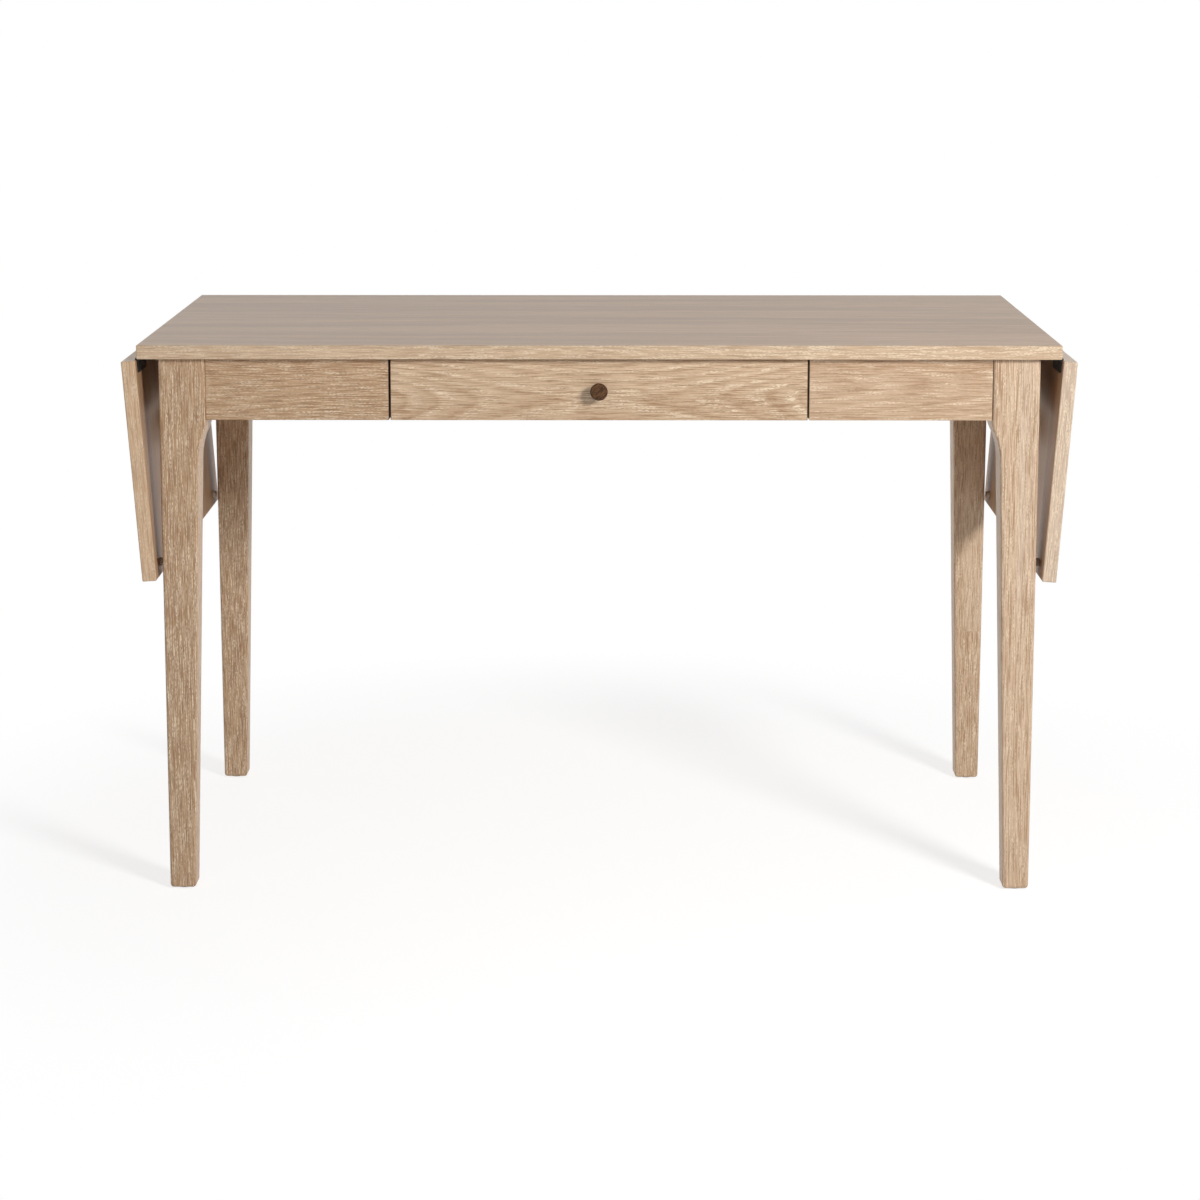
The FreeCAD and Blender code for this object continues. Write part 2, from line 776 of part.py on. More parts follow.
def channel(label, web, half_height, reach, lip):
    """Profile of one slide member from its web, as distances from the divider."""
    wall = d.slide_wall
    forward = 1 if reach.value > web.value else -1
    inner_web = web + forward * wall
    rim = reach - forward * wall
    half = [(web, -half_height), (reach, -half_height)]
    if lip is not None:
        half += [(reach, lip - half_height), (rim, lip - half_height), (rim, wall - half_height)]
    else:
        half += [(reach, wall - half_height)]
    half += [(inner_web, wall - half_height)]
    mirrored = [(x, -y) for x, y in reversed(half)]
    corners = half + mirrored
    if forward < 0:
        corners.reverse()
    body = new_body(label)
    sketch = new_sketch(body, "profile", "XZ_Plane")
    outline(sketch, corners)
    pad(body, sketch, d.slide_length)
    slide_z = drawer_low + d.drawer_side_height / 2
    body.Placement = turned(z_axis, 180.0)
    place(body, slide_plane, drawer_front_y + d.slide_start, slide_z)
    doc.recompute()
    return body


def make_slides():
    members = {
        "slide_outer_members": (as_size(0), d.slide_half_height, d.slide_outer_reach, d.slide_outer_lip),
        "slide_middle_members": (d.slide_middle_from, d.slide_half_height - d.slide_middle_inset,
                                 d.slide_middle_reach, d.slide_middle_lip),
        "slide_inner_members": (d.slide_thickness, d.slide_half_height - d.slide_inner_inset,
                                d.slide_inner_reach, None),
    }
    middle_y = (drawer_front_y + d.slide_start + d.slide_length / 2).value
    other_side = turned(z_axis, 180.0, FreeCAD.Vector(0, middle_y, 0))
    for label, shape in members.items():
        member = channel(f"{label[:-1]}_right", *shape)
        group(label, member.Shape, [moved(), other_side])


# Butt hinges: each wing with its knuckles, a pin and countersunk screws

screw_seats = [(d.hinge_screw_across, k * d.hinge_screw_pitch) for k in (-1, 0, 1)]
countersink = d.screw_head - d.screw_shank


def seat_cutters(label, x, y, sheet_low, sheet):
    """Clearance hole and countersink through a sheet whose outer face is the lower one."""
    clear = d.pin_clearance
    through = rod(f"{label}_hole", (x, y, sheet_low - overshoot), d.screw_shank + clear,
                  sheet + 2 * overshoot)
    sink = doc.addObject("Part::Cone", f"{label}_sink")
    bind(sink, Radius1=d.screw_head + clear, Radius2=d.screw_shank + clear, Height=countersink)
    place(sink, x, y, sheet_low)
    return [through, sink]


def wing(label, outward, knuckles):
    """One hinge wing in the hinge's own frame: pin along Y at the origin, sheet under the boards."""
    sheet_low = d.pivot_drop - d.hinge_sheet
    clear = d.hinge_barrel + d.hinge_play
    body = new_body(f"{label}_plate")
    sketch = new_sketch(body, "plan", "XY_Plane")
    rectangle(sketch, 0, 0, d.hinge_wing, d.hinge_length)
    plate = pad(body, sketch, d.hinge_sheet)
    far = d.hinge_wing.value - tolerance
    round_edges(body, plate, d.hinge_corner,
                lambda edge: edge.BoundBox.XMin > far and edge.BoundBox.ZLength > tolerance)
    place(body, 0, -d.hinge_length / 2, sheet_low)
    doc.recompute()
    barrels = []
    for index, (low, high) in enumerate(knuckles):
        barrels.append(rod(f"{label}_knuckle_{index}", (0, low, 0), d.hinge_barrel, high - low, y_axis))
    whole = joined(f"{label}_blank", [body] + barrels)
    cutters = [rod(f"{label}_bore", (0, -d.hinge_length, 0),
                   d.hinge_pin + (d.pin_clearance if len(knuckles) == 1 else 0),
                   2 * d.hinge_length, y_axis)]
    for index, (low, high) in enumerate(gaps_between(knuckles)):
        cutters.append(box(f"{label}_notch_{index}", (-clear, low, -clear),
                           (2 * clear, high - low, 2 * clear)))
    for index, (x, y) in enumerate(screw_seats):
        cutters += seat_cutters(f"{label}_seat_{index}", x, y, sheet_low, d.hinge_sheet)
    finished = cut(f"{label}_finished", whole, cutters)
    if outward:
        return finished.Shape
    return finished.Shape.copy().mirror(FreeCAD.Vector(), x_axis)


def gaps_between(knuckles):
    """Stretches of the barrel that the other wing's knuckles fill, with running play."""
    half = d.hinge_length / 2
    if len(knuckles) == 1:
        low, high = knuckles[0]
        return [(-half - overshoot, low), (high, half + overshoot)]
    return [(knuckles[0][1], knuckles[1][0])]


def screw_shape():
    """Countersunk wood screw, head at the origin, pointing up."""
    body = new_body("wood_screw")
    sketch = new_sketch(body, "half", "XZ_Plane")
    outline(sketch, [
        (as_size(0), as_size(0)),
        (d.screw_head, as_size(0)),
        (d.screw_shank, countersink),
        (d.screw_shank, d.screw_length - d.screw_tip),
        (as_size(0), d.screw_length),
    ])
    revolve(body, sketch)
    return body.Shape.copy()


def make_hinges():
    half = d.hinge_length / 2
    middle = half - d.hinge_knuckle
    outer_knuckles = [(-half, -middle), (middle, half)]
    inner_knuckle = [(d.hinge_play - middle, middle - d.hinge_play)]
    top_wing = wing("hinge_top_wing", False, outer_knuckles)
    leaf_wing = wing("hinge_leaf_wing", True, inner_knuckle)
    pin = rod("hinge_pin", (0, -half, 0), d.hinge_pin, d.hinge_length, y_axis)
    doc.recompute()
    spots = [at_hinge.multiply(moved(0, end * hinge_y, 0)) for end in ends]
    for side, turn in sides.items():
        group(f"{side}_hinge_top_wings", top_wing, [turn.multiply(spot) for spot in spots])
        group(f"{side}_hinge_pins", pin.Shape, [turn.multiply(spot) for spot in spots])
        group(f"{side}_hinge_leaf_wings", leaf_wing, [turn.multiply(hang).multiply(spot) for spot in spots])


# Folding stays: an arm from the apron and a link from the leaf meet at a knee

stay_spots = [at_hinge.multiply(moved(0, end * d.stay_from_middle, 0)) for end in ends]
apron_face = side_outer_x - axis_x
arm_low = 0.0
link_low = d.stay_sheet + d.stay_play
lug_apron = -d.stay_play - d.stay_plate
lug_leaf = link_low + d.stay_sheet + d.stay_play
leaf_pivot_z = d.pivot_drop - d.stay_stand


def stay_points():
    """Pivots of a stay about the hinge axis, in the plane square to it, with the leaf hanging."""
    root = FreeCAD.Vector(-d.stay_in.value, 0, -d.stay_drop.value)
    raised = FreeCAD.Vector(d.stay_reach.value, 0, leaf_pivot_z.value)
    hanging = turned(y_axis, swing).multVec(raised)
    arm = (raised - root).Length + d.stay_slack.value - d.stay_link.value
    span = hanging - root
    along = (span.Length ** 2 + arm ** 2 - d.stay_link.value ** 2) / (2 * span.Length)
    aside = math.sqrt(arm ** 2 - along ** 2)
    unit = span * (1 / span.Length)
    inward = FreeCAD.Vector(unit.z, 0, -unit.x)
    knee = root + unit * along + inward * aside
    return root, hanging, knee, arm


def strip(label, length, root_hole, end_hole, sheet_low, rivet=False):
    """A flat bar with round ends, lying along its own X, with an eye at each end."""
    width = d.stay_half_width
    body = new_body(label)
    sketch = new_sketch(body, "outline", "XY_Plane")
    outline(sketch, [
        (as_size(0), -width),
        (length, -width, width),
        (length + width, as_size(0), width),
        (length, width),
        (as_size(0), width, width),
        (-width, as_size(0), width),
    ])
    for x, radius in ((as_size(0), root_hole), (length, end_hole)):
        if radius is not None:
            ring(sketch, x, 0, radius)
    pad(body, sketch, d.stay_sheet)
    if rivet:
        head = new_sketch(body, "rivet", "XY_Plane")
        bind(head, **{"AttachmentOffset.Base.z": d.stay_sheet})
        ring(head, length, 0, d.stay_head)
        pad(body, head, d.stay_head_height)
    place(body, 0, 0, sheet_low)
    doc.recompute()
    return body.Shape.copy()


def lie_along(start, finish):
    """Place a bar's own X on the line between two pivots and its thickness along Y."""
    along = (finish - start).normalize()
    across = y_axis.cross(along)
    return FreeCAD.Placement(start, FreeCAD.Rotation(along, across, y_axis, "ZXY"))


def headed_pin(label, low, high, near_head, far_head):
    """A pin along Y with a flat head at each end that has one."""
    pieces = [rod(f"{label}_shank", (0, low, 0), d.stay_pin, high - low, y_axis)]
    if near_head:
        pieces.append(rod(f"{label}_near_head", (0, low - d.stay_head_height, 0),
                          d.stay_head, d.stay_head_height, y_axis))
    if far_head:
        pieces.append(rod(f"{label}_far_head", (0, high, 0), d.stay_head, d.stay_head_height, y_axis))
    whole = joined(label, pieces)
    doc.recompute()
    return whole.Shape.copy()


def bracket_foot(label):
    """Plate with round corners and two screw holes, lying flat with its length along X."""
    body = new_body(label)
    sketch = new_sketch(body, "plan", "XY_Plane")
    rounded_rectangle(sketch, d.stay_foot_length, d.stay_foot_width, d.stay_foot_corner)
    for end in ends:
        ring(sketch, (d.stay_foot_length + end * d.stay_foot_hole_pitch) / 2, d.stay_foot_hole_in,
             d.stay_foot_hole)
    pad(body, sketch, d.stay_plate)
    return body


def apron_bracket():
    """Plate screwed to the side apron with a lug that carries the arm."""
    plate = bracket_foot("apron_bracket_plate")
    plate.Placement = turned(y_axis, -90.0).multiply(turned(x_axis, 180.0))
    place(plate, apron_face, -d.stay_play, -d.stay_drop - d.stay_foot_length / 2)
    neck = box("apron_bracket_neck", (apron_face, lug_apron, -d.stay_drop - d.stay_lug),
               (-d.stay_in - apron_face, d.stay_plate, 2 * d.stay_lug))
    eye = rod("apron_bracket_eye", (-d.stay_in, lug_apron, -d.stay_drop), d.stay_lug, d.stay_plate, y_axis)
    hole = rod("apron_bracket_hole", (-d.stay_in, lug_apron - overshoot, -d.stay_drop), d.stay_pin,
               d.stay_plate + 2 * overshoot, y_axis)
    bracket = cut("apron_bracket", joined("apron_bracket_blank", [plate, neck, eye]), [hole])
    return bracket.Shape.copy()


def leaf_bracket():
    """Plate screwed under the leaf with a lug that carries the link, drawn with the leaf raised."""
    plate = bracket_foot("leaf_bracket_plate")
    place(plate, d.stay_reach - d.stay_foot_length / 2, lug_leaf, d.pivot_drop - d.stay_plate)
    neck = box("leaf_bracket_neck", (d.stay_reach - d.stay_lug, lug_leaf, leaf_pivot_z),
               (2 * d.stay_lug, d.stay_plate, d.pivot_drop - leaf_pivot_z))
    eye = rod("leaf_bracket_eye", (d.stay_reach, lug_leaf, leaf_pivot_z), d.stay_lug, d.stay_plate, y_axis)
    hole = rod("leaf_bracket_hole", (d.stay_reach, lug_leaf - overshoot, leaf_pivot_z), d.stay_pin,
               d.stay_plate + 2 * overshoot, y_axis)
    bracket = cut("leaf_bracket", joined("leaf_bracket_blank", [plate, neck, eye]), [hole])
    return bracket.Shape.copy()


def make_stays():
    root, hanging, knee, arm_length = stay_points()
    running = d.stay_pin + d.pin_clearance
    arm = strip("stay_arm", as_size(arm_length), running, d.stay_pin, arm_low)
    link = strip("stay_link_bar", d.stay_link, running, None, link_low, rivet=True)
    apron_plate = apron_bracket()
    leaf_plate = leaf_bracket()
    arm_high = arm_low + d.stay_sheet + d.stay_play / 2
    arm_pin = headed_pin("stay_arm_pin", lug_apron, arm_high, True, True)
    knee_rivet = headed_pin("stay_knee_rivet", as_size(arm_low), d.stay_sheet, True, False)
    link_pin = headed_pin("stay_link_pin", link_low - d.stay_play / 2, lug_leaf + d.stay_plate, True, True)
    pose_arm = lie_along(root, knee)
    pose_link = lie_along(hanging, knee)
    pose_root = FreeCAD.Placement(root, FreeCAD.Rotation())
    pose_knee = FreeCAD.Placement(knee, FreeCAD.Rotation())
    pose_leaf_pin = FreeCAD.Placement(hanging, FreeCAD.Rotation())
    for side, turn in sides.items():
        spots = [turn.multiply(spot) for spot in stay_spots]
        raised = [turn.multiply(hang).multiply(spot) for spot in stay_spots]
        group(f"{side}_stay_apron_brackets", apron_plate, spots)
        group(f"{side}_stay_apron_pins", arm_pin, [spot.multiply(pose_root) for spot in spots])
        group(f"{side}_stay_arms", arm, [spot.multiply(pose_arm) for spot in spots])
        group(f"{side}_stay_knee_rivets", knee_rivet, [spot.multiply(pose_knee) for spot in spots])
        group(f"{side}_stay_links", link, [spot.multiply(pose_link) for spot in spots])
        group(f"{side}_stay_leaf_brackets", leaf_plate, raised)
        group(f"{side}_stay_leaf_pins", link_pin, [spot.multiply(pose_leaf_pin) for spot in spots])


# Buffers that keep a hanging leaf off the legs

def make_buffers():
    body = new_body("leaf_buffer")
    sketch = new_sketch(body, "half", "XZ_Plane")
    outline(sketch, [
        (as_size(0), as_size(0)),
        (as_size(0), -d.buffer_height),
        (d.buffer_radius - 2 * d.buffer_lip, -d.buffer_height),
        (d.buffer_radius - d.buffer_lip, d.buffer_lip - d.buffer_height),
        (d.buffer_radius, as_size(0)),
    ])
    revolve(body, sketch)
    x = half_width + d.leaf_gap + d.leaf_length - d.buffer_from_end
    y = half_depth - d.buffer_from_edge
    for side, turn in sides.items():
        pose = turn.multiply(hang)
        group(f"{side}_leaf_buffers", body.Shape,
              [pose.multiply(moved(x, end * y, underside)) for end in ends])


# Screws of the hinges, in the tabletop and in each leaf

def make_screws():
    screw = screw_shape()
    sheet_low = d.pivot_drop - d.hinge_sheet
    hinge_spots = [at_hinge.multiply(moved(0, end * hinge_y, 0)) for end in ends]
    fixed = []
    for side, turn in sides.items():
        for spot in hinge_spots:
            fixed += [turn.multiply(spot).multiply(moved(-x, y, sheet_low)) for x, y in screw_seats]
    group("tabletop_hinge_screws", screw, fixed)
    for side, turn in sides.items():
        pose = turn.multiply(hang)
        swung = []
        for spot in hinge_spots:
            swung += [pose.multiply(spot).multiply(moved(x, y, sheet_low)) for x, y in screw_seats]
        group(f"{side}_leaf_hinge_screws", screw, swung)


make_tabletop()
for side_name in sides:
    make_leaf(side_name)
make_legs()
make_glides()
make_frame_boards()
make_corner_joints()
make_top_brackets()
make_drawer()
make_slides()
make_hinges()
make_stays()
make_buffers()
make_screws()
doc.recompute()

failed = [thing.Label for thing in doc.Objects if "Invalid" in thing.State or "Error" in thing.State]
if failed:
    raise RuntimeError(f"failed objects: {failed}")
for piece in subparts:
    if piece.Shape.isNull() or not piece.Shape.isValid():
        raise RuntimeError(f"bad shape: {piece.Label}")

os.makedirs("parts", exist_ok=True)
for piece in subparts:
    piece.Shape.exportStep(f"parts/{piece.Label}.step")
    print(piece.Label, len(piece.Shape.Solids), round(piece.Shape.Volume / 1000.0, 2))
print(len(subparts), "nodes")
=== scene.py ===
import json
import math

import bpy
from mathutils import Matrix, Vector


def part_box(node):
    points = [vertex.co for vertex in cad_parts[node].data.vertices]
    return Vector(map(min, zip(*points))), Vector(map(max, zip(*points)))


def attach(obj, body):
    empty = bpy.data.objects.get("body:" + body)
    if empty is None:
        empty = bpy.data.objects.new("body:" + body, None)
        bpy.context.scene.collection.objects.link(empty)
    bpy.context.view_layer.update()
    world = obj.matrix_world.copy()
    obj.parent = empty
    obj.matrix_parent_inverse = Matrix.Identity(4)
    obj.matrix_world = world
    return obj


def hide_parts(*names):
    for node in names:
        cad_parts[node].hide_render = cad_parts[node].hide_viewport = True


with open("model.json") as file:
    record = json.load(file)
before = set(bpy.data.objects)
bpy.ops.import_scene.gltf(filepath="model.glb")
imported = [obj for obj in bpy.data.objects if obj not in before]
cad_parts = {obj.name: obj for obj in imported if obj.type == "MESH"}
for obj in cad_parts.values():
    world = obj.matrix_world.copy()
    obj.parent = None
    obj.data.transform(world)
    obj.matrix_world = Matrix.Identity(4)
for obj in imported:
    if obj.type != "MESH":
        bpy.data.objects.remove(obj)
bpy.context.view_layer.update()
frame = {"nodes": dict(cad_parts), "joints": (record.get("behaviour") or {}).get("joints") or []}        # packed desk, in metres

nodes = frame["nodes"]
print("desk loaded:", len(nodes), "nodes")


# colours are written as they look on screen, 0 to 255, and turned into linear light
def tone(red, green, blue):
    linear = []
    for level in (red, green, blue):
        level = level / 255.0
        linear.append(level / 12.92 if level <= 0.04045 else ((level + 0.055) / 1.055) ** 2.4)
    return (linear[0], linear[1], linear[2], 1.0)


white = (1.0, 1.0, 1.0, 1.0)
down = (0.0, 0.0, -1.0)


# small node helpers
def newMaterial(name):
    material = bpy.data.materials.new(name)
    material.use_nodes = True
    tree = material.node_tree
    shader = tree.nodes["Principled BSDF"]
    return material, tree, shader


def feed(tree, socket, value):
    if isinstance(value, bpy.types.NodeSocket):
        tree.links.new(value, socket)
    else:
        socket.default_value = value


# inputs are given by name, or as in0, in1 and so on
def addNode(tree, kind, settings=None, **inputs):
    node = tree.nodes.new(kind)
    for key, value in (settings or {}).items():
        setattr(node, key, value)
    for key, value in inputs.items():
        feed(tree, node.inputs[int(key[2:])] if key.startswith("in") else node.inputs[key], value)
    return node


def maths(tree, operation, *values):
    node = addNode(tree, "ShaderNodeMath", {"operation": operation})
    for index, value in enumerate(values):
        feed(tree, node.inputs[index], value)
    return node.outputs[0]


def vectors(tree, operation, *values):
    node = addNode(tree, "ShaderNodeVectorMath", {"operation": operation})
    for index, value in enumerate(values):
        feed(tree, node.inputs[index], value)
    return node.outputs["Value" if operation == "LENGTH" else "Vector"]


def splitAxes(tree, vector):
    return addNode(tree, "ShaderNodeSeparateXYZ", in0=vector).outputs


def remap(tree, value, low, high, toLow=0.0, toHigh=1.0):
    node = addNode(tree, "ShaderNodeMapRange", {"clamp": True, "interpolation_type": "SMOOTHSTEP"},
                   in0=value, in1=low, in2=high, in3=toLow, in4=toHigh)
    return node.outputs[0]


# the sockets 0, 6, 7 and 2 are those of a mix of colours
def blendColour(tree, factor, first, second):
    node = addNode(tree, "ShaderNodeMix", {"data_type": "RGBA"}, in0=factor, in6=first, in7=second)
    return node.outputs[2]


def tinted(tree, colour, second, mask, share):
    return blendColour(tree, maths(tree, "MULTIPLY", mask, share), colour, second)


# noise layer, sized per metre along the grain and across it
def layer(tree, place, values, output="Fac"):
    scaled = vectors(tree, "MULTIPLY", place, values["size"])
    node = addNode(tree, "ShaderNodeTexNoise", in0=scaled, Scale=1.0, Detail=values["detail"],
                   Roughness=values["roughness"])
    field = node.outputs[output]
    return remap(tree, field, *values["limits"]) if "limits" in values else field


def turned(tree, vector, turn, shift=(0.0, 0.0, 0.0)):
    mapping = addNode(tree, "ShaderNodeMapping", in0=vector, Location=shift)
    mapping.inputs["Rotation"].default_value = [math.radians(angle) for angle in turn]
    return mapping.outputs[0]


def objectCoords(tree):
    return addNode(tree, "ShaderNodeTexCoord").outputs["Object"]


def fromMiddle(tree, name):
    low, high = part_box(name)
    middle = [(a + b) / 2 for a, b in zip(low, high)]
    return vectors(tree, "SUBTRACT", objectCoords(tree), middle)


def halfSize(name, index):
    low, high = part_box(name)
    return (high[index] - low[index]) / 2


def coat(tree, shader, colour, roughness):
    tree.links.new(colour, shader.inputs["Base Color"])
    tree.links.new(roughness, shader.inputs["Roughness"])


def addBump(tree, shader, height, strength, distance):
    bump = addNode(tree, "ShaderNodeBump", Height=height, Strength=strength, Distance=distance)
    tree.links.new(bump.outputs[0], shader.inputs["Normal"])


def dress(nodeName, material):
    slots = nodes[nodeName].data.materials
    slots.clear()
    slots.append(material)


# limed oak: brown wood with white pigment in its pores
oak = {
    "base": tone(205, 169, 133),
    "late": tone(179, 143, 109),
    "deep": tone(142, 101, 68),
    "chalk": tone(246, 226, 198),
    # the next two tones also stand for light on the leaves' lipping: the warm tone on the shaded left edge
    # and the pale lime on the lit right edge are painted light
    "honeyLight": tone(240, 203, 167),
    "lime": tone(245, 236, 224),
    "warp": dict(size=(3.0, 22.0, 22.0), detail=1.0, roughness=0.4),
    "stray": dict(size=(9.0, 105.0, 105.0), detail=1.0, roughness=0.5),
    "strayBy": (0.0, 0.0016, 0.0016),       # metres that a fibre strays
    "pores": dict(size=(26.0, 940.0, 940.0), detail=1.0, roughness=0.5, limits=(0.48, 0.58)),
    "dashes": dict(size=(270.0, 900.0, 900.0), detail=0.0, roughness=0.5, limits=(0.38, 0.58)),
    "dashShare": 0.80,
    "finePores": dict(size=(120.0, 1800.0, 1800.0), detail=1.0, roughness=0.5, limits=(0.54, 0.66)),
    "finePoreShare": 0.25,
    "fibre": dict(size=(24.0, 940.0, 940.0), detail=1.0, roughness=0.5, limits=(0.46, 0.60)),
    "fibreShare": 0.7,
    "lateShare": 0.6,
    "deepShare": 0.5,
    "cloud": dict(size=(2.4, 16.0, 16.0), detail=3.0, roughness=0.6),
    "cloudPigment": (0.30, 0.65, 0.72, 1.0),    # levels of the cloud, and the share of pigment at them
    "cloudShade": (0.40, 0.75, 0.0, 0.25),
    "streak": dict(size=(1.3, 21.0, 21.0), detail=3.0, roughness=0.6, limits=(0.40, 0.66)),
    "earlywood": (0.0, 0.12, 0.30, 0.55),   # share of a ring where it starts, is full, fades and ends
    "latewood": (0.55, 0.88, 0.92, 1.0),
    "cutStep": (1.7, 0.9, 1.0),             # metres in the tree for each unit of a board's cut
    "bump": 0.20,
    "bumpDepth": 0.0004,
}

# how a board was cut: pith and ring width in metres, lean of the tree in degrees, then its contrasts
oakKinds = {
    "top": dict(pith=(0.02, -0.16), lean=(0.4, 0.5), ring=0.0085, warp=0.030, rings=1.0,
                chalk=0.35, dark=0.45, streak=0.9, sheen=(0.36, 0.44), gloss=0.42),
    "leaf": dict(pith=(0.02, -0.16), lean=(0.4, 0.5), ring=0.0085, warp=0.020, rings=1.0,
                 chalk=0.35, dark=0.45, streak=0.9, sheen=(0.36, 0.44), gloss=0.42),
    "leg": dict(pith=(0.10, 0.07), lean=(0.5, 0.8), ring=0.0037, warp=0.008, rings=0.22,
                chalk=0.95, dark=1.00, streak=0.2, sheen=(0.42, 0.55), gloss=0.50),
    "panel": dict(pith=(0.04, 0.15), lean=(0.6, 0.4), ring=0.0042, warp=0.012, rings=0.35,
                  chalk=0.90, dark=0.85, streak=0.3, sheen=(0.46, 0.58), gloss=0.45),
    "flame": dict(pith=(0.070, 0.010), lean=(0.3, 0.0), ring=0.0065, warp=0.010, rings=0.76,
                  chalk=1.08, dark=0.80, streak=0.3, sheen=(0.46, 0.58), gloss=0.45),
    "cathedral": dict(pith=(0.055, -0.012), lean=(0.3, 4.6), ring=0.0060, warp=0.012, rings=0.72,
                      chalk=1.10, dark=0.80, streak=0.3, sheen=(0.46, 0.58), gloss=0.45),
    "inner": dict(pith=(0.12, 0.10), lean=(0.6, 0.8), ring=0.005, warp=0.012, rings=0.6,
                  chalk=0.45, dark=0.50, streak=0.2, sheen=(0.55, 0.68), gloss=0.45),
}

# turns that bring the grain onto x; a leaf hangs turned by its swing from where it lies level
leafHinges = {joint["name"]: joint for joint in frame["joints"] if "leaf_hinge" in joint["name"]}
leafSwing = {name: joint["range_deg"][1] for name, joint in leafHinges.items()}
along = {
    "x": (0.0, 0.0, 0.0),
    "y": (0.0, 0.0, -90.0),
    "z": (0.0, 90.0, 0.0),
    "rightLeaf": (0.0, -leafSwing["right_leaf_hinge"], 0.0),
    "leftLeaf": (0.0, leafSwing["left_leaf_hinge"] - 180.0, 0.0),
}

# each board: its kind, grain, where in the tree it was cut, and how much darker than the rest; some lip
# tones, pale tones and strengths are partly painted light, as noted at those boards
oakBoards = {
    "tabletop": dict(kind="top", grain="x", cut=0.4, tint=0.0, lipped="xy", lip=("chalk", 0.30)),
    # the two leaves' lip tones differ as painted light: warm on the left edge in shade, pale on the right
    # edge in the key lamp
    "left_leaf": dict(kind="leaf", grain="leftLeaf", cut=1.3, tint=0.0, lipped="yz",
                      lip=("honeyLight", 0.50), under=1.0),
    "right_leaf": dict(kind="leaf", grain="rightLeaf", cut=2.2, tint=0.0, lipped="yz",
                       lip=("lime", 0.34), under=-1.0),
    "front_left_leg": dict(kind="leg", grain="z", cut=3.1, tint=0.20),
    # the front right leg and the right panel face the key lamp: their pale tone and strength below 1 are
    # partly painted light, paler and flatter grain where the light is brightest
    "front_right_leg": dict(kind="leg", grain="z", cut=4.0, tint=-0.12, pale=("lime", 0.18), strength=0.75),
    "back_left_leg": dict(kind="leg", grain="z", cut=4.9, tint=0.04),
    "back_right_leg": dict(kind="leg", grain="z", cut=5.8, tint=-0.08, pale=("lime", 0.12), strength=0.80),
    "front_panel_left": dict(kind="panel", grain="x", cut=6.7, tint=0.22, ends=(1.0,)),
    "front_panel_right": dict(kind="cathedral", grain="x", cut=7.6, tint=-0.05, pale=("lime", 0.14),
                              strength=0.72, ends=(1.0,)),
    "drawer_front": dict(kind="flame", grain="x", cut=8.5, tint=-0.12, pale=("chalk", 0.31),
                         strength=0.9, bow=-0.32, ends=(-1.0, 1.0)),
    "back_apron": dict(kind="panel", grain="x", cut=9.4, tint=0.0),
    "side_apron_left": dict(kind="panel", grain="y", cut=10.3, tint=0.0),
    "side_apron_right": dict(kind="panel", grain="y", cut=11.2, tint=0.0),
    "drawer_divider_left": dict(kind="inner", grain="y", cut=12.1, tint=0.1),
    "drawer_divider_right": dict(kind="inner", grain="y", cut=13.0, tint=0.1),
    "front_top_rail": dict(kind="inner", grain="x", cut=13.9, tint=0.1),
}


# factor that is 1 where a board reaches past a plane near its face
def beyond(tree, reach, inside):
    return maths(tree, "GREATER_THAN", reach, inside)


def anyOf(tree, masks):
    whole = masks[0]
    for mask in masks[1:]:
        whole = maths(tree, "MAXIMUM", whole, mask)
    return whole


# solid strips along a board's edges
lipping = {
    "width": 0.0016,
    "chalk": 0.72,
    "dark": 0.50,
    "pores": dict(size=(34.0, 640.0, 640.0), detail=1.0, roughness=0.5, limits=(0.44, 0.60)),
}


def lippingMask(tree, name, axes, centred):
    split = splitAxes(tree, centred)
    strips = []
    for index in ["xyz".index(axis) for axis in axes]:
        away = maths(tree, "ABSOLUTE", split[index])
        strips.append(beyond(tree, away, halfSize(name, index) - lipping["width"]))
    return anyOf(tree, strips)


# under face of a leaf: without lacquer, so rougher, and a little darker, partly as painted shade on the
# hanging leaf's inner face
leafUndersideShade = {"rough": 0.46, "tone": "deep", "share": 0.15, "depth": 0.0015}


def leafUndersideShadeMask(tree, place, side):
    through = maths(tree, "MULTIPLY", splitAxes(tree, place)[2], side)
    return beyond(tree, through, halfSize("tabletop", 2) - leafUndersideShade["depth"])


# end grain, which takes up more of the stain, made darker still as painted shade of the gaps at the drawer
# and beside the right leg
endStainAndShade = {"tone": tone(70, 46, 30), "share": 0.88, "width": 0.0008}


def endStainAndShadeMask(tree, name, sides, centred):
    lengthwise = splitAxes(tree, centred)[0]
    inside = halfSize(name, 0) - endStainAndShade["width"]
    return anyOf(tree, [beyond(tree, maths(tree, "MULTIPLY", lengthwise, side), inside) for side in sides])


# legs glued from staves: past the seam the wood comes from another board, and its upper part is paler
staves = {
    "front_right_leg": dict(seam=0.006, tone="lime", share=0.20, width=0.014, left=0.35,
                            fades=(-0.045, 0.090)),
    "back_right_leg": dict(seam=0.0005, tone="chalk", share=0.19, width=0.040, left=0.80,
                           fades=(-0.1303, -0.1297), crossJoint=True),
}
staveShift = (0.77, 0.013, 0.017)       # from one board to the next


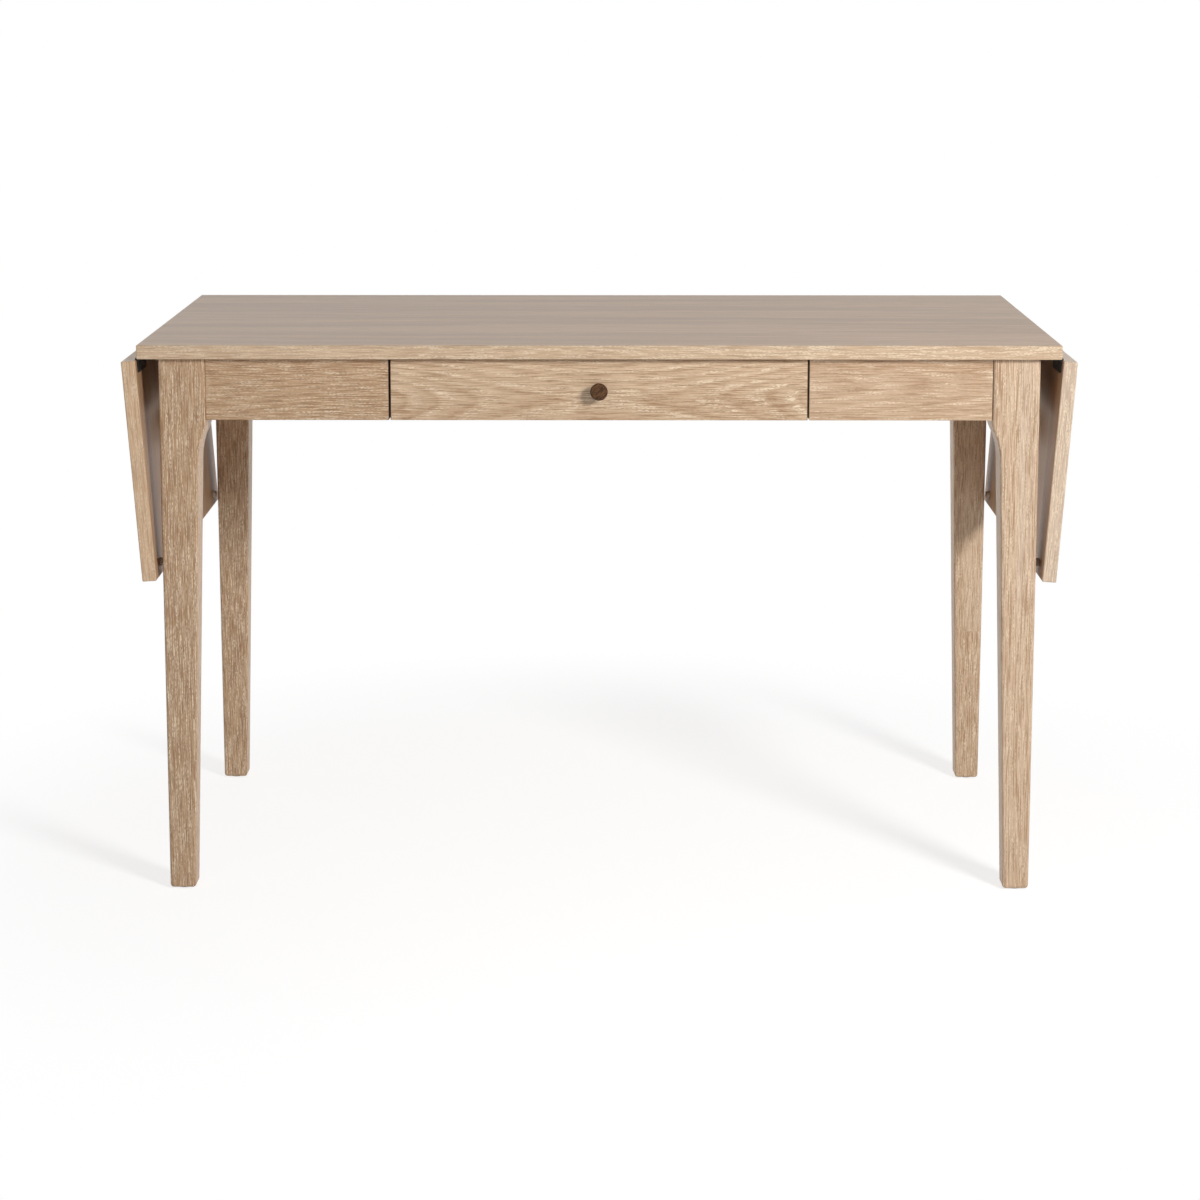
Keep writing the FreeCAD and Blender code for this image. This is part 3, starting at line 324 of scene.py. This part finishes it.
def staved(tree, place, centred, stave):
    split = splitAxes(tree, centred)
    across, up = split[0], split[2]
    past = maths(tree, "GREATER_THAN", across, stave["seam"])
    upper = maths(tree, "MULTIPLY", past, remap(tree, up, *stave["fades"]))
    strip = remap(tree, across, stave["seam"], stave["seam"] + stave["width"], 1.0, stave["left"])
    boards = maths(tree, "ADD", past, upper) if "crossJoint" in stave else past
    step = addNode(tree, "ShaderNodeCombineXYZ", in0=boards, in1=boards, in2=boards)
    shifted = vectors(tree, "MULTIPLY_ADD", step.outputs[0], staveShift, place)
    return shifted, maths(tree, "MULTIPLY", strip, upper)


# share of a ring that one kind of growth takes
def growthBand(tree, growth, marks):
    starts, full, fades, ends = marks
    return maths(tree, "MULTIPLY", remap(tree, growth, starts, full), remap(tree, growth, ends, fades))


# growth rings round the pith, cut by the board: 0 to 1 across each ring
def growthRings(tree, place, sample, stray, kind, bow):
    warp = layer(tree, sample, oak["warp"], output="Color")
    bent = vectors(tree, "MULTIPLY_ADD", warp, (0.0, kind["warp"], kind["warp"]), place)
    bent = vectors(tree, "MULTIPLY_ADD", stray, oak["strayBy"], bent)
    if bow:
        lengthwise = splitAxes(tree, place)[0]
        sag = maths(tree, "MULTIPLY", maths(tree, "MULTIPLY", lengthwise, lengthwise), bow)
        bent = vectors(tree, "ADD", bent, addNode(tree, "ShaderNodeCombineXYZ", in1=sag).outputs[0])
    trunk = turned(tree, bent, (0.0, *kind["lean"]), (0.0, *kind["pith"]))
    radius = vectors(tree, "LENGTH", vectors(tree, "MULTIPLY", trunk, (0.0, 1.0, 1.0)))
    return maths(tree, "FRACT", maths(tree, "DIVIDE", radius, kind["ring"]))


# what a board's grain is mixed from, each 0 to 1
def oakGrain(tree, place, sample, kind, bow):
    stray = layer(tree, sample, oak["stray"], output="Color")
    growth = growthRings(tree, place, sample, stray, kind, bow)
    rings = kind["rings"]
    early = maths(tree, "MULTIPLY_ADD", growthBand(tree, growth, oak["earlywood"]), rings, 1.0 - rings)
    drift = vectors(tree, "MULTIPLY_ADD", stray, oak["strayBy"], sample)
    dashes = layer(tree, drift, oak["dashes"])
    return {
        "late": maths(tree, "MULTIPLY", growthBand(tree, growth, oak["latewood"]), rings),
        "pores": maths(tree, "MULTIPLY", layer(tree, drift, oak["pores"]), early),
        "broken": maths(tree, "MULTIPLY_ADD", dashes, oak["dashShare"], 1.0 - oak["dashShare"]),
        "finePores": layer(tree, drift, oak["finePores"]),
        "fibre": layer(tree, drift, oak["fibre"]),
        "cloud": layer(tree, sample, oak["cloud"]),
        "streak": layer(tree, sample, oak["streak"]),
    }


def oakFinish(name, board):
    kind = oakKinds[board["kind"]]
    strength = board.get("strength", 1.0)
    chalk = kind["chalk"] * strength
    dark = kind["dark"] * strength
    material, tree, shader = newMaterial("limedOak_" + name)
    centred = fromMiddle(tree, name)
    place = turned(tree, centred, along[board["grain"]])
    if name in staves:
        place, fresh = staved(tree, place, centred, staves[name])
    sample = vectors(tree, "ADD", place, [board["cut"] * step for step in oak["cutStep"]])
    grain = oakGrain(tree, place, sample, kind, board.get("bow", 0.0))

    pores = grain["pores"]
    if "lipped" in board:
        mask = lippingMask(tree, name, board["lipped"], centred)
        chalk = maths(tree, "MULTIPLY_ADD", mask, lipping["chalk"] - chalk, chalk)
        dark = maths(tree, "MULTIPLY_ADD", mask, lipping["dark"] - dark, dark)
        solid = layer(tree, sample, lipping["pores"])
        pores = maths(tree, "MULTIPLY_ADD", mask, maths(tree, "SUBTRACT", solid, pores), pores)
    pores = maths(tree, "MULTIPLY", pores, grain["broken"])
    pigment = maths(tree, "MULTIPLY_ADD", grain["finePores"], oak["finePoreShare"], pores)
    pigment = maths(tree, "MULTIPLY", pigment, remap(tree, grain["cloud"], *oak["cloudPigment"]))
    shade = maths(tree, "MULTIPLY", grain["fibre"], oak["fibreShare"])
    shade = maths(tree, "MULTIPLY_ADD", grain["late"], oak["lateShare"], shade)
    shade = maths(tree, "MULTIPLY_ADD", shade, dark, board["tint"])
    shade = maths(tree, "ADD", remap(tree, grain["cloud"], *oak["cloudShade"]), shade)
    shade = maths(tree, "MULTIPLY_ADD", grain["streak"], kind["streak"], shade)

    paleTone, pale = board.get("pale", ("chalk", 0.0))
    base = [a + (b - a) * pale for a, b in zip(oak["base"], oak[paleTone])]
    colour = blendColour(tree, shade, base, oak["late"])
    if "lipped" in board:
        lipTone, lipShare = board["lip"]
        colour = tinted(tree, colour, oak[lipTone], mask, lipShare)
    if name in staves:
        stave = staves[name]
        colour = tinted(tree, colour, oak[stave["tone"]], fresh, stave["share"])
    deepShare = maths(tree, "MULTIPLY", dark, oak["deepShare"])
    colour = tinted(tree, colour, oak["deep"], grain["fibre"], deepShare)
    colour = tinted(tree, colour, oak["chalk"], pigment, chalk)
    # board ends darkened, partly as end-grain stain and partly as painted shade of the gaps beside them
    if "ends" in board:
        stainedAndShaded = endStainAndShadeMask(tree, name, board["ends"], centred)
        colour = tinted(tree, colour, endStainAndShade["tone"], stainedAndShaded, endStainAndShade["share"])
    rough = remap(tree, pigment, 0.0, 1.0, *kind["sheen"])
    # the under face of a leaf: rougher, and darker towards the deep tone, in part as painted shade
    if "under" in board:
        lacquerlessShade = leafUndersideShadeMask(tree, place, board["under"])
        colour = tinted(tree, colour, oak[leafUndersideShade["tone"]], lacquerlessShade, leafUndersideShade["share"])
        rough = maths(tree, "MAXIMUM", rough, maths(tree, "MULTIPLY", lacquerlessShade, leafUndersideShade["rough"]))
    coat(tree, shader, colour, rough)
    shader.inputs["Specular IOR Level"].default_value = kind["gloss"]
    relief = maths(tree, "MULTIPLY", pigment, -1.0)
    addBump(tree, shader, relief, oak["bump"] * kind["chalk"], oak["bumpDepth"])
    return material


for name, board in oakBoards.items():
    dress(name, oakFinish(name, board))
print("oak boards finished:", len(oakBoards))

sheenSpan = (0.3, 0.7)   # levels of a noise between which the roughness changes


# two tones mixed by one noise, which also sets the sheen and, if there is no other, the relief
def twoTone(name, values, turn, shift=(0.0, 0.0, 0.0)):
    material, tree, shader = newMaterial(name)
    place = turned(tree, objectCoords(tree), turn, shift)
    pattern = layer(tree, place, values["pattern"])
    colour = blendColour(tree, remap(tree, pattern, *values["limits"]), values["first"], values["second"])
    coat(tree, shader, colour, remap(tree, pattern, *sheenSpan, *values["sheen"]))
    shader.inputs["Metallic"].default_value = values.get("metal", 0.0)
    relief = layer(tree, place, values["relief"]) if "relief" in values else pattern
    addBump(tree, shader, relief, values["bump"], values["bumpDepth"])
    return material


# pale unstained wood of the drawer box and the corner blocks
drawerWood = {
    "first": tone(222, 196, 158),
    "second": tone(200, 168, 126),
    "pattern": dict(size=(6.0, 220.0, 220.0), detail=3.0, roughness=0.6),
    "limits": (0.34, 0.70),
    "sheen": (0.55, 0.68),
    "bump": 0.15,
    "bumpDepth": 0.0003,
    "boards": {
        "drawer_side_left": "y", "drawer_side_right": "y", "drawer_back": "x",
        "drawer_bottom": "x", "corner_blocks": "z",
    },
    "firstCut": 0.4,
    "nextCut": 1.7,
    "cutStep": (1.0, 0.7, 1.3),
}
for index, (name, grain) in enumerate(drawerWood["boards"].items()):
    cut = drawerWood["nextCut"] * index + drawerWood["firstCut"]
    shift = [cut * step for step in drawerWood["cutStep"]]
    dress(name, twoTone("paleWood_" + name, drawerWood, along[grain], shift))

# dark turned knob, with faint lathe rings
knobWood = {
    "brown": tone(122, 86, 58),
    "dark": tone(52, 34, 20),
    "streak": dict(size=(60.0, 700.0, 700.0), detail=3.0, roughness=0.6),
    "limits": (0.30, 0.72),
    "slant": (0.0, 38.0, 0.0),              # degrees
    "latheRing": 0.00234,
    "latheDepth": 0.22,
    "sheen": (0.50, 0.60),
    "gloss": 0.22,
    "bump": 0.15,
    "bumpDepth": 0.0002,
}


def knobFinish():
    material, tree, shader = newMaterial("darkTurnedWood")
    centred = fromMiddle(tree, "drawer_knob")
    outward = vectors(tree, "LENGTH", vectors(tree, "MULTIPLY", centred, (1.0, 0.0, 1.0)))
    halfRing = knobWood["latheRing"] / 2
    lathe = maths(tree, "DIVIDE", maths(tree, "PINGPONG", outward, halfRing), halfRing)
    streak = layer(tree, turned(tree, centred, knobWood["slant"]), knobWood["streak"])
    grain = remap(tree, streak, *knobWood["limits"])
    pattern = maths(tree, "MULTIPLY_ADD", lathe, -knobWood["latheDepth"], grain)
    colour = blendColour(tree, pattern, knobWood["dark"], knobWood["brown"])
    coat(tree, shader, colour, remap(tree, streak, *sheenSpan, *knobWood["sheen"]))
    shader.inputs["Specular IOR Level"].default_value = knobWood["gloss"]
    addBump(tree, shader, lathe, knobWood["bump"], knobWood["bumpDepth"])
    return material


dress("drawer_knob", knobFinish())

# black powder-coated steel of hinges and stays
blackSteel = {
    "first": tone(30, 29, 28),
    "second": tone(52, 50, 48),
    "pattern": dict(size=(60.0, 60.0, 60.0), detail=3.0, roughness=0.5),
    "limits": (0.40, 0.75),
    "sheen": (0.38, 0.55),
    "relief": dict(size=(2600.0, 2600.0, 2600.0), detail=2.0, roughness=0.5),
    "bump": 0.25,
    "bumpDepth": 0.0002,
}
black = twoTone("blackPowderCoat", blackSteel, along["x"])
for name in nodes:
    if "hinge" in name or "stay" in name:
        dress(name, black)

# zinc-plated steel of slides, brackets, bolts
zinc = {
    "first": tone(196, 198, 202),
    "second": tone(158, 160, 166),
    "pattern": dict(size=(30.0, 500.0, 500.0), detail=3.0, roughness=0.6),
    "limits": (0.35, 0.7),
    "sheen": (0.28, 0.42),
    "metal": 1.0,
    "bump": 0.08,
    "bumpDepth": 0.0002,
}
zincPlate = twoTone("zincPlate", zinc, along["y"])
for name in ("slide_outer_members", "slide_middle_members", "slide_inner_members", "top_brackets",
             "hanger_bolts", "hanger_nuts", "knob_screw"):
    dress(name, zincPlate)

# soft buffers on the leaves
buffers = {
    "first": tone(206, 194, 180),
    "second": tone(182, 169, 154),
    "pattern": dict(size=(320.0, 320.0, 320.0), detail=3.0, roughness=0.5),
    "limits": (0.4, 0.7),
    "sheen": (0.35, 0.5),
    "bump": 0.15,
    "bumpDepth": 0.0002,
}
bufferFinish = twoTone("softBuffer", buffers, along["x"])
for name in ("left_leaf_buffers", "right_leaf_buffers"):
    dress(name, bufferFinish)

# felt-brown glides under the feet, of the same mottle; their dark tone is partly painted shade, for the
# contact shadow at each foot
glides = dict(buffers, first=tone(74, 63, 53), second=tone(98, 87, 76), sheen=(0.7, 0.85))
dress("foot_glides", twoTone("glideFeltAndContactShade", glides, along["x"]))
print("fittings finished")


# screws: a cross in each head, one model of each kind and a copy of it in every hole
screwKinds = {
    "countersunk": dict(head=0.0034, rise=0.00165, crown=0.0, shank=0.00175, length=0.0140, tip=0.0030,
                        cross=0.0020),
    "pan": dict(head=0.0034, rise=0.0014, crown=0.0007, shank=0.0017, length=0.0140, tip=0.0030,
                cross=0.0020),
    "knob": dict(head=0.0044, rise=0.0017, crown=0.0007, shank=0.0020, length=0.0280, tip=0.0010,
                 cross=0.0025),
}
screwShape = {
    "sides": 24,
    "tipShare": 0.2,                            # of the shank
    "crownSteps": ((0.2, 0.7), (0.3, 0.3)),     # inset as a share of the head, rise of the crown
    "crossWidth": 0.3,                          # of the cross's half length
    "crossDepth": 0.0011,
    "crossFloor": 0.6,                          # of the cross at its mouth
    "flat": 0.9,                                # least z of a level face's normal
    "smooth": 35.0,                             # degrees
}


def pick(piece, test):
    bpy.ops.object.mode_set(mode="OBJECT")
    for part in (piece.data.vertices, piece.data.edges, piece.data.polygons):
        part.foreach_set("select", [False] * len(part))
    for face in piece.data.polygons:
        face.select = test(face)
    bpy.ops.object.mode_set(mode="EDIT")


def facesDown(face):
    return face.normal.z < -screwShape["flat"]


def isHeadTop(face):
    return face.normal.z > screwShape["flat"] and face.center.z > 0.0


def editFaces():
    bpy.ops.object.transform_apply(location=True, rotation=True, scale=True)
    bpy.ops.object.mode_set(mode="EDIT")
    bpy.ops.mesh.select_mode(type="FACE")


def pull(distance):
    bpy.ops.mesh.extrude_region_move(TRANSFORM_OT_translate={"value": (0.0, 0.0, distance)})


def narrow(share, height):
    bpy.ops.transform.resize(value=(share, share, 1.0), center_override=(0.0, 0.0, height))


def crossCut(piece, kind, top):
    half = kind["cross"]
    thin = half * screwShape["crossWidth"]
    depth = screwShape["crossDepth"]
    for wide, deep in ((half, thin), (thin, half)):
        bpy.ops.object.select_all(action="DESELECT")
        bpy.ops.mesh.primitive_cube_add(size=2.0, location=(0.0, 0.0, top))
        cutter = bpy.context.object
        cutter.scale = (wide, deep, depth)
        editFaces()
        pick(cutter, facesDown)
        narrow(screwShape["crossFloor"], top - depth)
        bpy.ops.object.mode_set(mode="OBJECT")
        slit = piece.modifiers.new("cross", "BOOLEAN")
        slit.operation = "DIFFERENCE"
        slit.object = cutter
        bpy.ops.object.select_all(action="DESELECT")
        piece.select_set(True)
        bpy.context.view_layer.objects.active = piece
        bpy.ops.object.modifier_apply(modifier=slit.name)
        bpy.data.objects.remove(cutter)


# stands on the z axis with its head up; a countersunk head is flush with z = 0, a pan head sits on it
def modelScrew(name, kind):
    flush = kind["crown"] == 0.0
    middle = -kind["rise"] / 2 if flush else kind["rise"] / 2
    bpy.ops.object.select_all(action="DESELECT")
    bpy.ops.mesh.primitive_cylinder_add(vertices=screwShape["sides"], radius=kind["head"],
                                        depth=kind["rise"], location=(0.0, 0.0, middle))
    piece = bpy.context.object
    piece.name = name
    editFaces()
    pick(piece, facesDown)
    if flush:
        narrow(kind["shank"] / kind["head"], -kind["rise"])
    else:
        bpy.ops.mesh.inset(thickness=kind["head"] - kind["shank"])
    below = kind["length"] - kind["rise"] if flush else kind["length"]
    pull(kind["tip"] - below)
    pull(-kind["tip"])
    narrow(screwShape["tipShare"], middle - kind["rise"] / 2 - below)
    if not flush:
        pick(piece, isHeadTop)
        for inset, rise in screwShape["crownSteps"]:
            bpy.ops.mesh.inset(thickness=kind["head"] * inset)
            bpy.ops.transform.translate(value=(0.0, 0.0, kind["crown"] * rise))
    bpy.ops.object.mode_set(mode="OBJECT")
    crossCut(piece, kind, max(vertex.co.z for vertex in piece.data.vertices))
    return piece


def driveScrews(name, model, spots, body, finish, stands=None):
    copies = []
    for place, outward in spots:
        screw = model.copy()
        screw.data = model.data.copy()
        bpy.context.scene.collection.objects.link(screw)
        turn = Vector(outward).to_track_quat("Z", "Y").to_matrix().to_4x4()
        screw.matrix_world = Matrix.Translation(place) @ turn
        copies.append(screw)
    bpy.ops.object.select_all(action="DESELECT")
    for screw in copies:
        screw.select_set(True)
    bpy.context.view_layer.objects.active = copies[0]
    bpy.ops.object.transform_apply(location=True, rotation=True, scale=True)
    if len(copies) > 1:
        bpy.ops.object.join()
    piece = bpy.context.object
    piece.name = name
    bpy.ops.object.shade_smooth_by_angle(angle=math.radians(screwShape["smooth"]))
    piece.data.materials.clear()
    piece.data.materials.append(finish)
    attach(piece, body)
    if stands:
        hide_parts(stands)


weldDigits = 6           # points that agree to so many digits of a metre are one
rimDepth = 0.0001        # of a CAD screw's head


# separate solids of a CAD node, each as its corner points
def solidsOf(name):
    mesh = nodes[name].data
    owner = {}

    def root(key):
        while owner[key] != key:
            key = owner[key]
        return key

    keys = [tuple(round(c, weldDigits) for c in vertex.co) for vertex in mesh.vertices]
    for key in keys:
        owner[key] = key
    for face in mesh.polygons:
        first = root(keys[face.vertices[0]])
        for index in face.vertices[1:]:
            owner[root(keys[index])] = first
    groups = {}
    for key in set(keys):
        groups.setdefault(root(key), []).append(Vector(key))
    return [groups[key] for key in sorted(groups)]


# where a CAD screw's head ends, less the height that stands above its seat, and which way it faces
def headSpots(name, outward, stand=0.0):
    spots = []
    outward = Vector(outward)
    for points in solidsOf(name):
        reach = max(point.dot(outward) for point in points)
        rim = [point for point in points if point.dot(outward) > reach - rimDepth]
        spots.append((sum(rim, Vector()) / len(rim) - outward * stand, outward))
    return spots


# the left end is the right end turned half round
def facing(side, vector):
    x, y, z = vector
    return Vector((x, y, z)) if side == "right" else Vector((-x, -y, z))


# a direction of the level leaf, as it is when the leaf hangs
def hung(side, vector):
    axis = Vector((0.0, 1.0, 0.0))
    turn = Matrix.Rotation(math.radians(leafSwing[side + "_leaf_hinge"]), 3, axis)
    return facing(side, turn @ Vector(vector))


# plates that hold the stays on apron and leaf, and their screw holes
stayFoot = {
    "holes": (0.0135, -0.0135),             # along the plate from its middle
    "holeIn": 0.0150,                       # from the plate's edge
    "sheet": 0.0025,
    "fromMiddle": 0.1100,                   # plane of a stay, from the middle of the desk
    "apronEdge": 0.0003,                    # edge of the apron's plate, from that plane
    "leafEdge": 0.0066,
    "drop": 0.0450,                         # middle of the apron's plate, below the hinge axis
    "reach": 0.1000,                        # middle of the leaf's plate, from the hinge axis
    "leafDrop": 0.0012,                     # face of the leaf's plate, below the hinge axis
}
rightHinge = leafHinges["right_leaf_hinge"]["pos_m"]


def apronScrewSpots(side):
    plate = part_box("side_apron_right")[1][0] + stayFoot["sheet"]
    pivot = facing("right", rightHinge).z - stayFoot["drop"]
    spots = []
    for end in (-1, 1):
        y = end * stayFoot["fromMiddle"] - stayFoot["apronEdge"] - stayFoot["holeIn"]
        for hole in stayFoot["holes"]:
            spots.append((facing(side, (plate, y, pivot + hole)), facing(side, (1.0, 0.0, 0.0))))
    return spots


def leafScrewSpots(side):
    hinge = facing(side, rightHinge)
    spots = []
    for end in (-1, 1):
        y = end * stayFoot["fromMiddle"] + stayFoot["leafEdge"] + stayFoot["holeIn"]
        for hole in stayFoot["holes"]:
            place = hinge + hung(side, (stayFoot["reach"] + hole, y, -stayFoot["leafDrop"]))
            spots.append((place, hung(side, down)))
    return spots


# angle brackets under the top; past backFrom from the middle they are on the front panels or the back apron
angleBracket = {"hole": 0.0155, "sheet": 0.0020, "backFrom": 0.2}


def angleScrewSpots():
    spots = []
    for points in solidsOf("top_brackets"):
        low = Vector([min(p[i] for p in points) for i in range(3)])
        high = Vector([max(p[i] for p in points) for i in range(3)])
        middle = (low + high) / 2
        index = 1 if abs(middle.y) > angleBracket["backFrom"] else 0
        inward = -1.0 if middle[index] > 0 else 1.0
        corner = low[index] if inward > 0 else high[index]
        onWall = middle.copy()
        onWall[index] = corner + inward * angleBracket["sheet"]
        onWall.z = high.z - angleBracket["hole"]
        outward = Vector()
        outward[index] = inward
        spots.append((onWall, outward))
        underTop = middle.copy()
        underTop[index] = corner + inward * angleBracket["hole"]
        underTop.z = high.z - angleBracket["sheet"]
        spots.append((underTop, Vector(down)))
    return spots


countersunk = modelScrew("countersunkModel", screwKinds["countersunk"])
pan = modelScrew("panModel", screwKinds["pan"])
knobModel = modelScrew("knobScrewModel", screwKinds["knob"])
driveScrews("top_hinge_crossheads", countersunk, headSpots("tabletop_hinge_screws", down), "frame",
            black, "tabletop_hinge_screws")
driveScrews("frame_bracket_screws", pan, angleScrewSpots(), "frame", zincPlate)
knobStand = screwKinds["knob"]["rise"] + screwKinds["knob"]["crown"]
driveScrews("knob_crosshead", knobModel, headSpots("knob_screw", (0.0, 1.0, 0.0), knobStand), "drawer",
            zincPlate, "knob_screw")
for side in ("left", "right"):
    driveScrews(side + "_leaf_crossheads", countersunk,
                headSpots(side + "_leaf_hinge_screws", hung(side, down)), side + "_leaf",
                black, side + "_leaf_hinge_screws")
    driveScrews(side + "_apron_stay_screws", pan, apronScrewSpots(side), "frame", black)
    driveScrews(side + "_leaf_stay_screws", pan, leafScrewSpots(side), side + "_leaf", black)
for model in (countersunk, pan, knobModel):
    bpy.data.objects.remove(model)
print("screws driven")


# studio: a white surround that lights less than it shows, and a pale floor that fades into it
studio = {
    "surround": 0.19,
    "floorSize": 24.0,
    "floorColour": (0.86, 0.86, 0.86, 1.0),
    "floorPatch": dict(centre=(0.0, 0.10, 0.0), full=0.62, gone=1.24, lift=0.74),
}


def seenDirectly(tree):
    path = addNode(tree, "ShaderNodeLightPath")
    seen = maths(tree, "MAXIMUM", path.outputs["Is Camera Ray"], path.outputs["Is Glossy Ray"])
    return maths(tree, "MAXIMUM", seen, path.outputs["Is Transmission Ray"])


def makeWorld():
    world = bpy.data.worlds.new("whiteStudio")
    bpy.context.scene.world = world
    world.use_nodes = True
    tree = world.node_tree
    background = tree.nodes["Background"]
    background.inputs["Color"].default_value = white
    strength = maths(tree, "MULTIPLY_ADD", seenDirectly(tree), 1.0 - studio["surround"], studio["surround"])
    tree.links.new(strength, background.inputs["Strength"])


def makeFloor():
    bpy.ops.object.select_all(action="DESELECT")
    bpy.ops.mesh.primitive_plane_add(size=studio["floorSize"], location=(0.0, 0.0, 0.0))
    floor = bpy.context.object
    floor.name = "studioFloor"
    material = bpy.data.materials.new("paleFloor")
    material.use_nodes = True
    tree = material.node_tree
    tree.nodes.clear()
    diffuse = addNode(tree, "ShaderNodeBsdfDiffuse", Color=studio["floorColour"])
    glow = addNode(tree, "ShaderNodeEmission", Color=white, Strength=1.0)
    patch = studio["floorPatch"]
    away = vectors(tree, "LENGTH", vectors(tree, "ADD", objectCoords(tree), patch["centre"]))
    fade = remap(tree, away, patch["full"], patch["gone"], patch["lift"], 1.0)
    seen = seenDirectly(tree)
    lift = maths(tree, "MULTIPLY", fade, seen)
    doubled = addNode(tree, "ShaderNodeAddShader", in0=diffuse.outputs[0], in1=diffuse.outputs[0])
    plain = addNode(tree, "ShaderNodeMixShader", in0=seen, in1=diffuse.outputs[0], in2=doubled.outputs[0])
    mixed = addNode(tree, "ShaderNodeMixShader", in0=lift, in1=plain.outputs[0], in2=glow.outputs[0])
    output = addNode(tree, "ShaderNodeOutputMaterial", Surface=mixed.outputs[0])
    output.is_active_output = True
    floor.data.materials.append(material)


# lamps: soft key from the front right, weak fill, and bounce below the top from behind and from the left
lamps = {
    "key": dict(place=(2.08, -2.92, 2.00), aim=(0.0, -0.2, 0.55), size=0.84, power=93.0),
    "fill": dict(place=(-1.6, -4.2, 2.4), aim=(0.0, 0.0, 0.45), size=2.6, power=6.0),
    "backBounce": dict(place=(0.0, 3.2, 0.42), aim=(0.0, 0.0, 0.42), size=3.6, height=0.7, power=34.0),
    "sideBounce": dict(place=(-3.2, 1.3, 0.42), aim=(-0.6, 0.0, 0.42), size=2.4, height=0.7, power=13.0),
}


def makeLamp(name, lamp):
    data = bpy.data.lights.new(name, "AREA")
    data.shape = "RECTANGLE" if "height" in lamp else "DISK"
    data.size = lamp["size"]
    data.size_y = lamp.get("height", lamp["size"])
    data.energy = lamp["power"]
    holder = bpy.data.objects.new(name, data)
    bpy.context.scene.collection.objects.link(holder)
    holder.location = lamp["place"]
    holder.visible_camera = False
    holder.visible_glossy = False        # no glare on the lacquer, which mirrors the white surround alone
    holder.rotation_mode = "QUATERNION"
    holder.rotation_quaternion = (Vector(lamp["aim"]) - Vector(lamp["place"])).to_track_quat("-Z", "Y")


makeWorld()
makeFloor()
for name, lamp in lamps.items():
    makeLamp(name + "Lamp", lamp)

# camera: long lens, a little above the desk, frame shifted down
shot = {
    "place": (0.0198, -3.9889, 1.2288),
    "pitch": 8.91,
    "yaw": 0.286,
    "lens": 84.52,
    "shift": -0.15,
}
cameraData = bpy.data.cameras.new("frontCamera")
camera = bpy.data.objects.new("frontCamera", cameraData)
bpy.context.scene.collection.objects.link(camera)
camera.location = shot["place"]
camera.rotation_euler = (math.radians(90.0 - shot["pitch"]), 0.0, math.radians(shot["yaw"]))
cameraData.lens = shot["lens"]
cameraData.shift_y = shot["shift"]
bpy.context.scene.camera = camera
bpy.context.scene.view_settings.view_transform = "Standard"
print("studio ready")
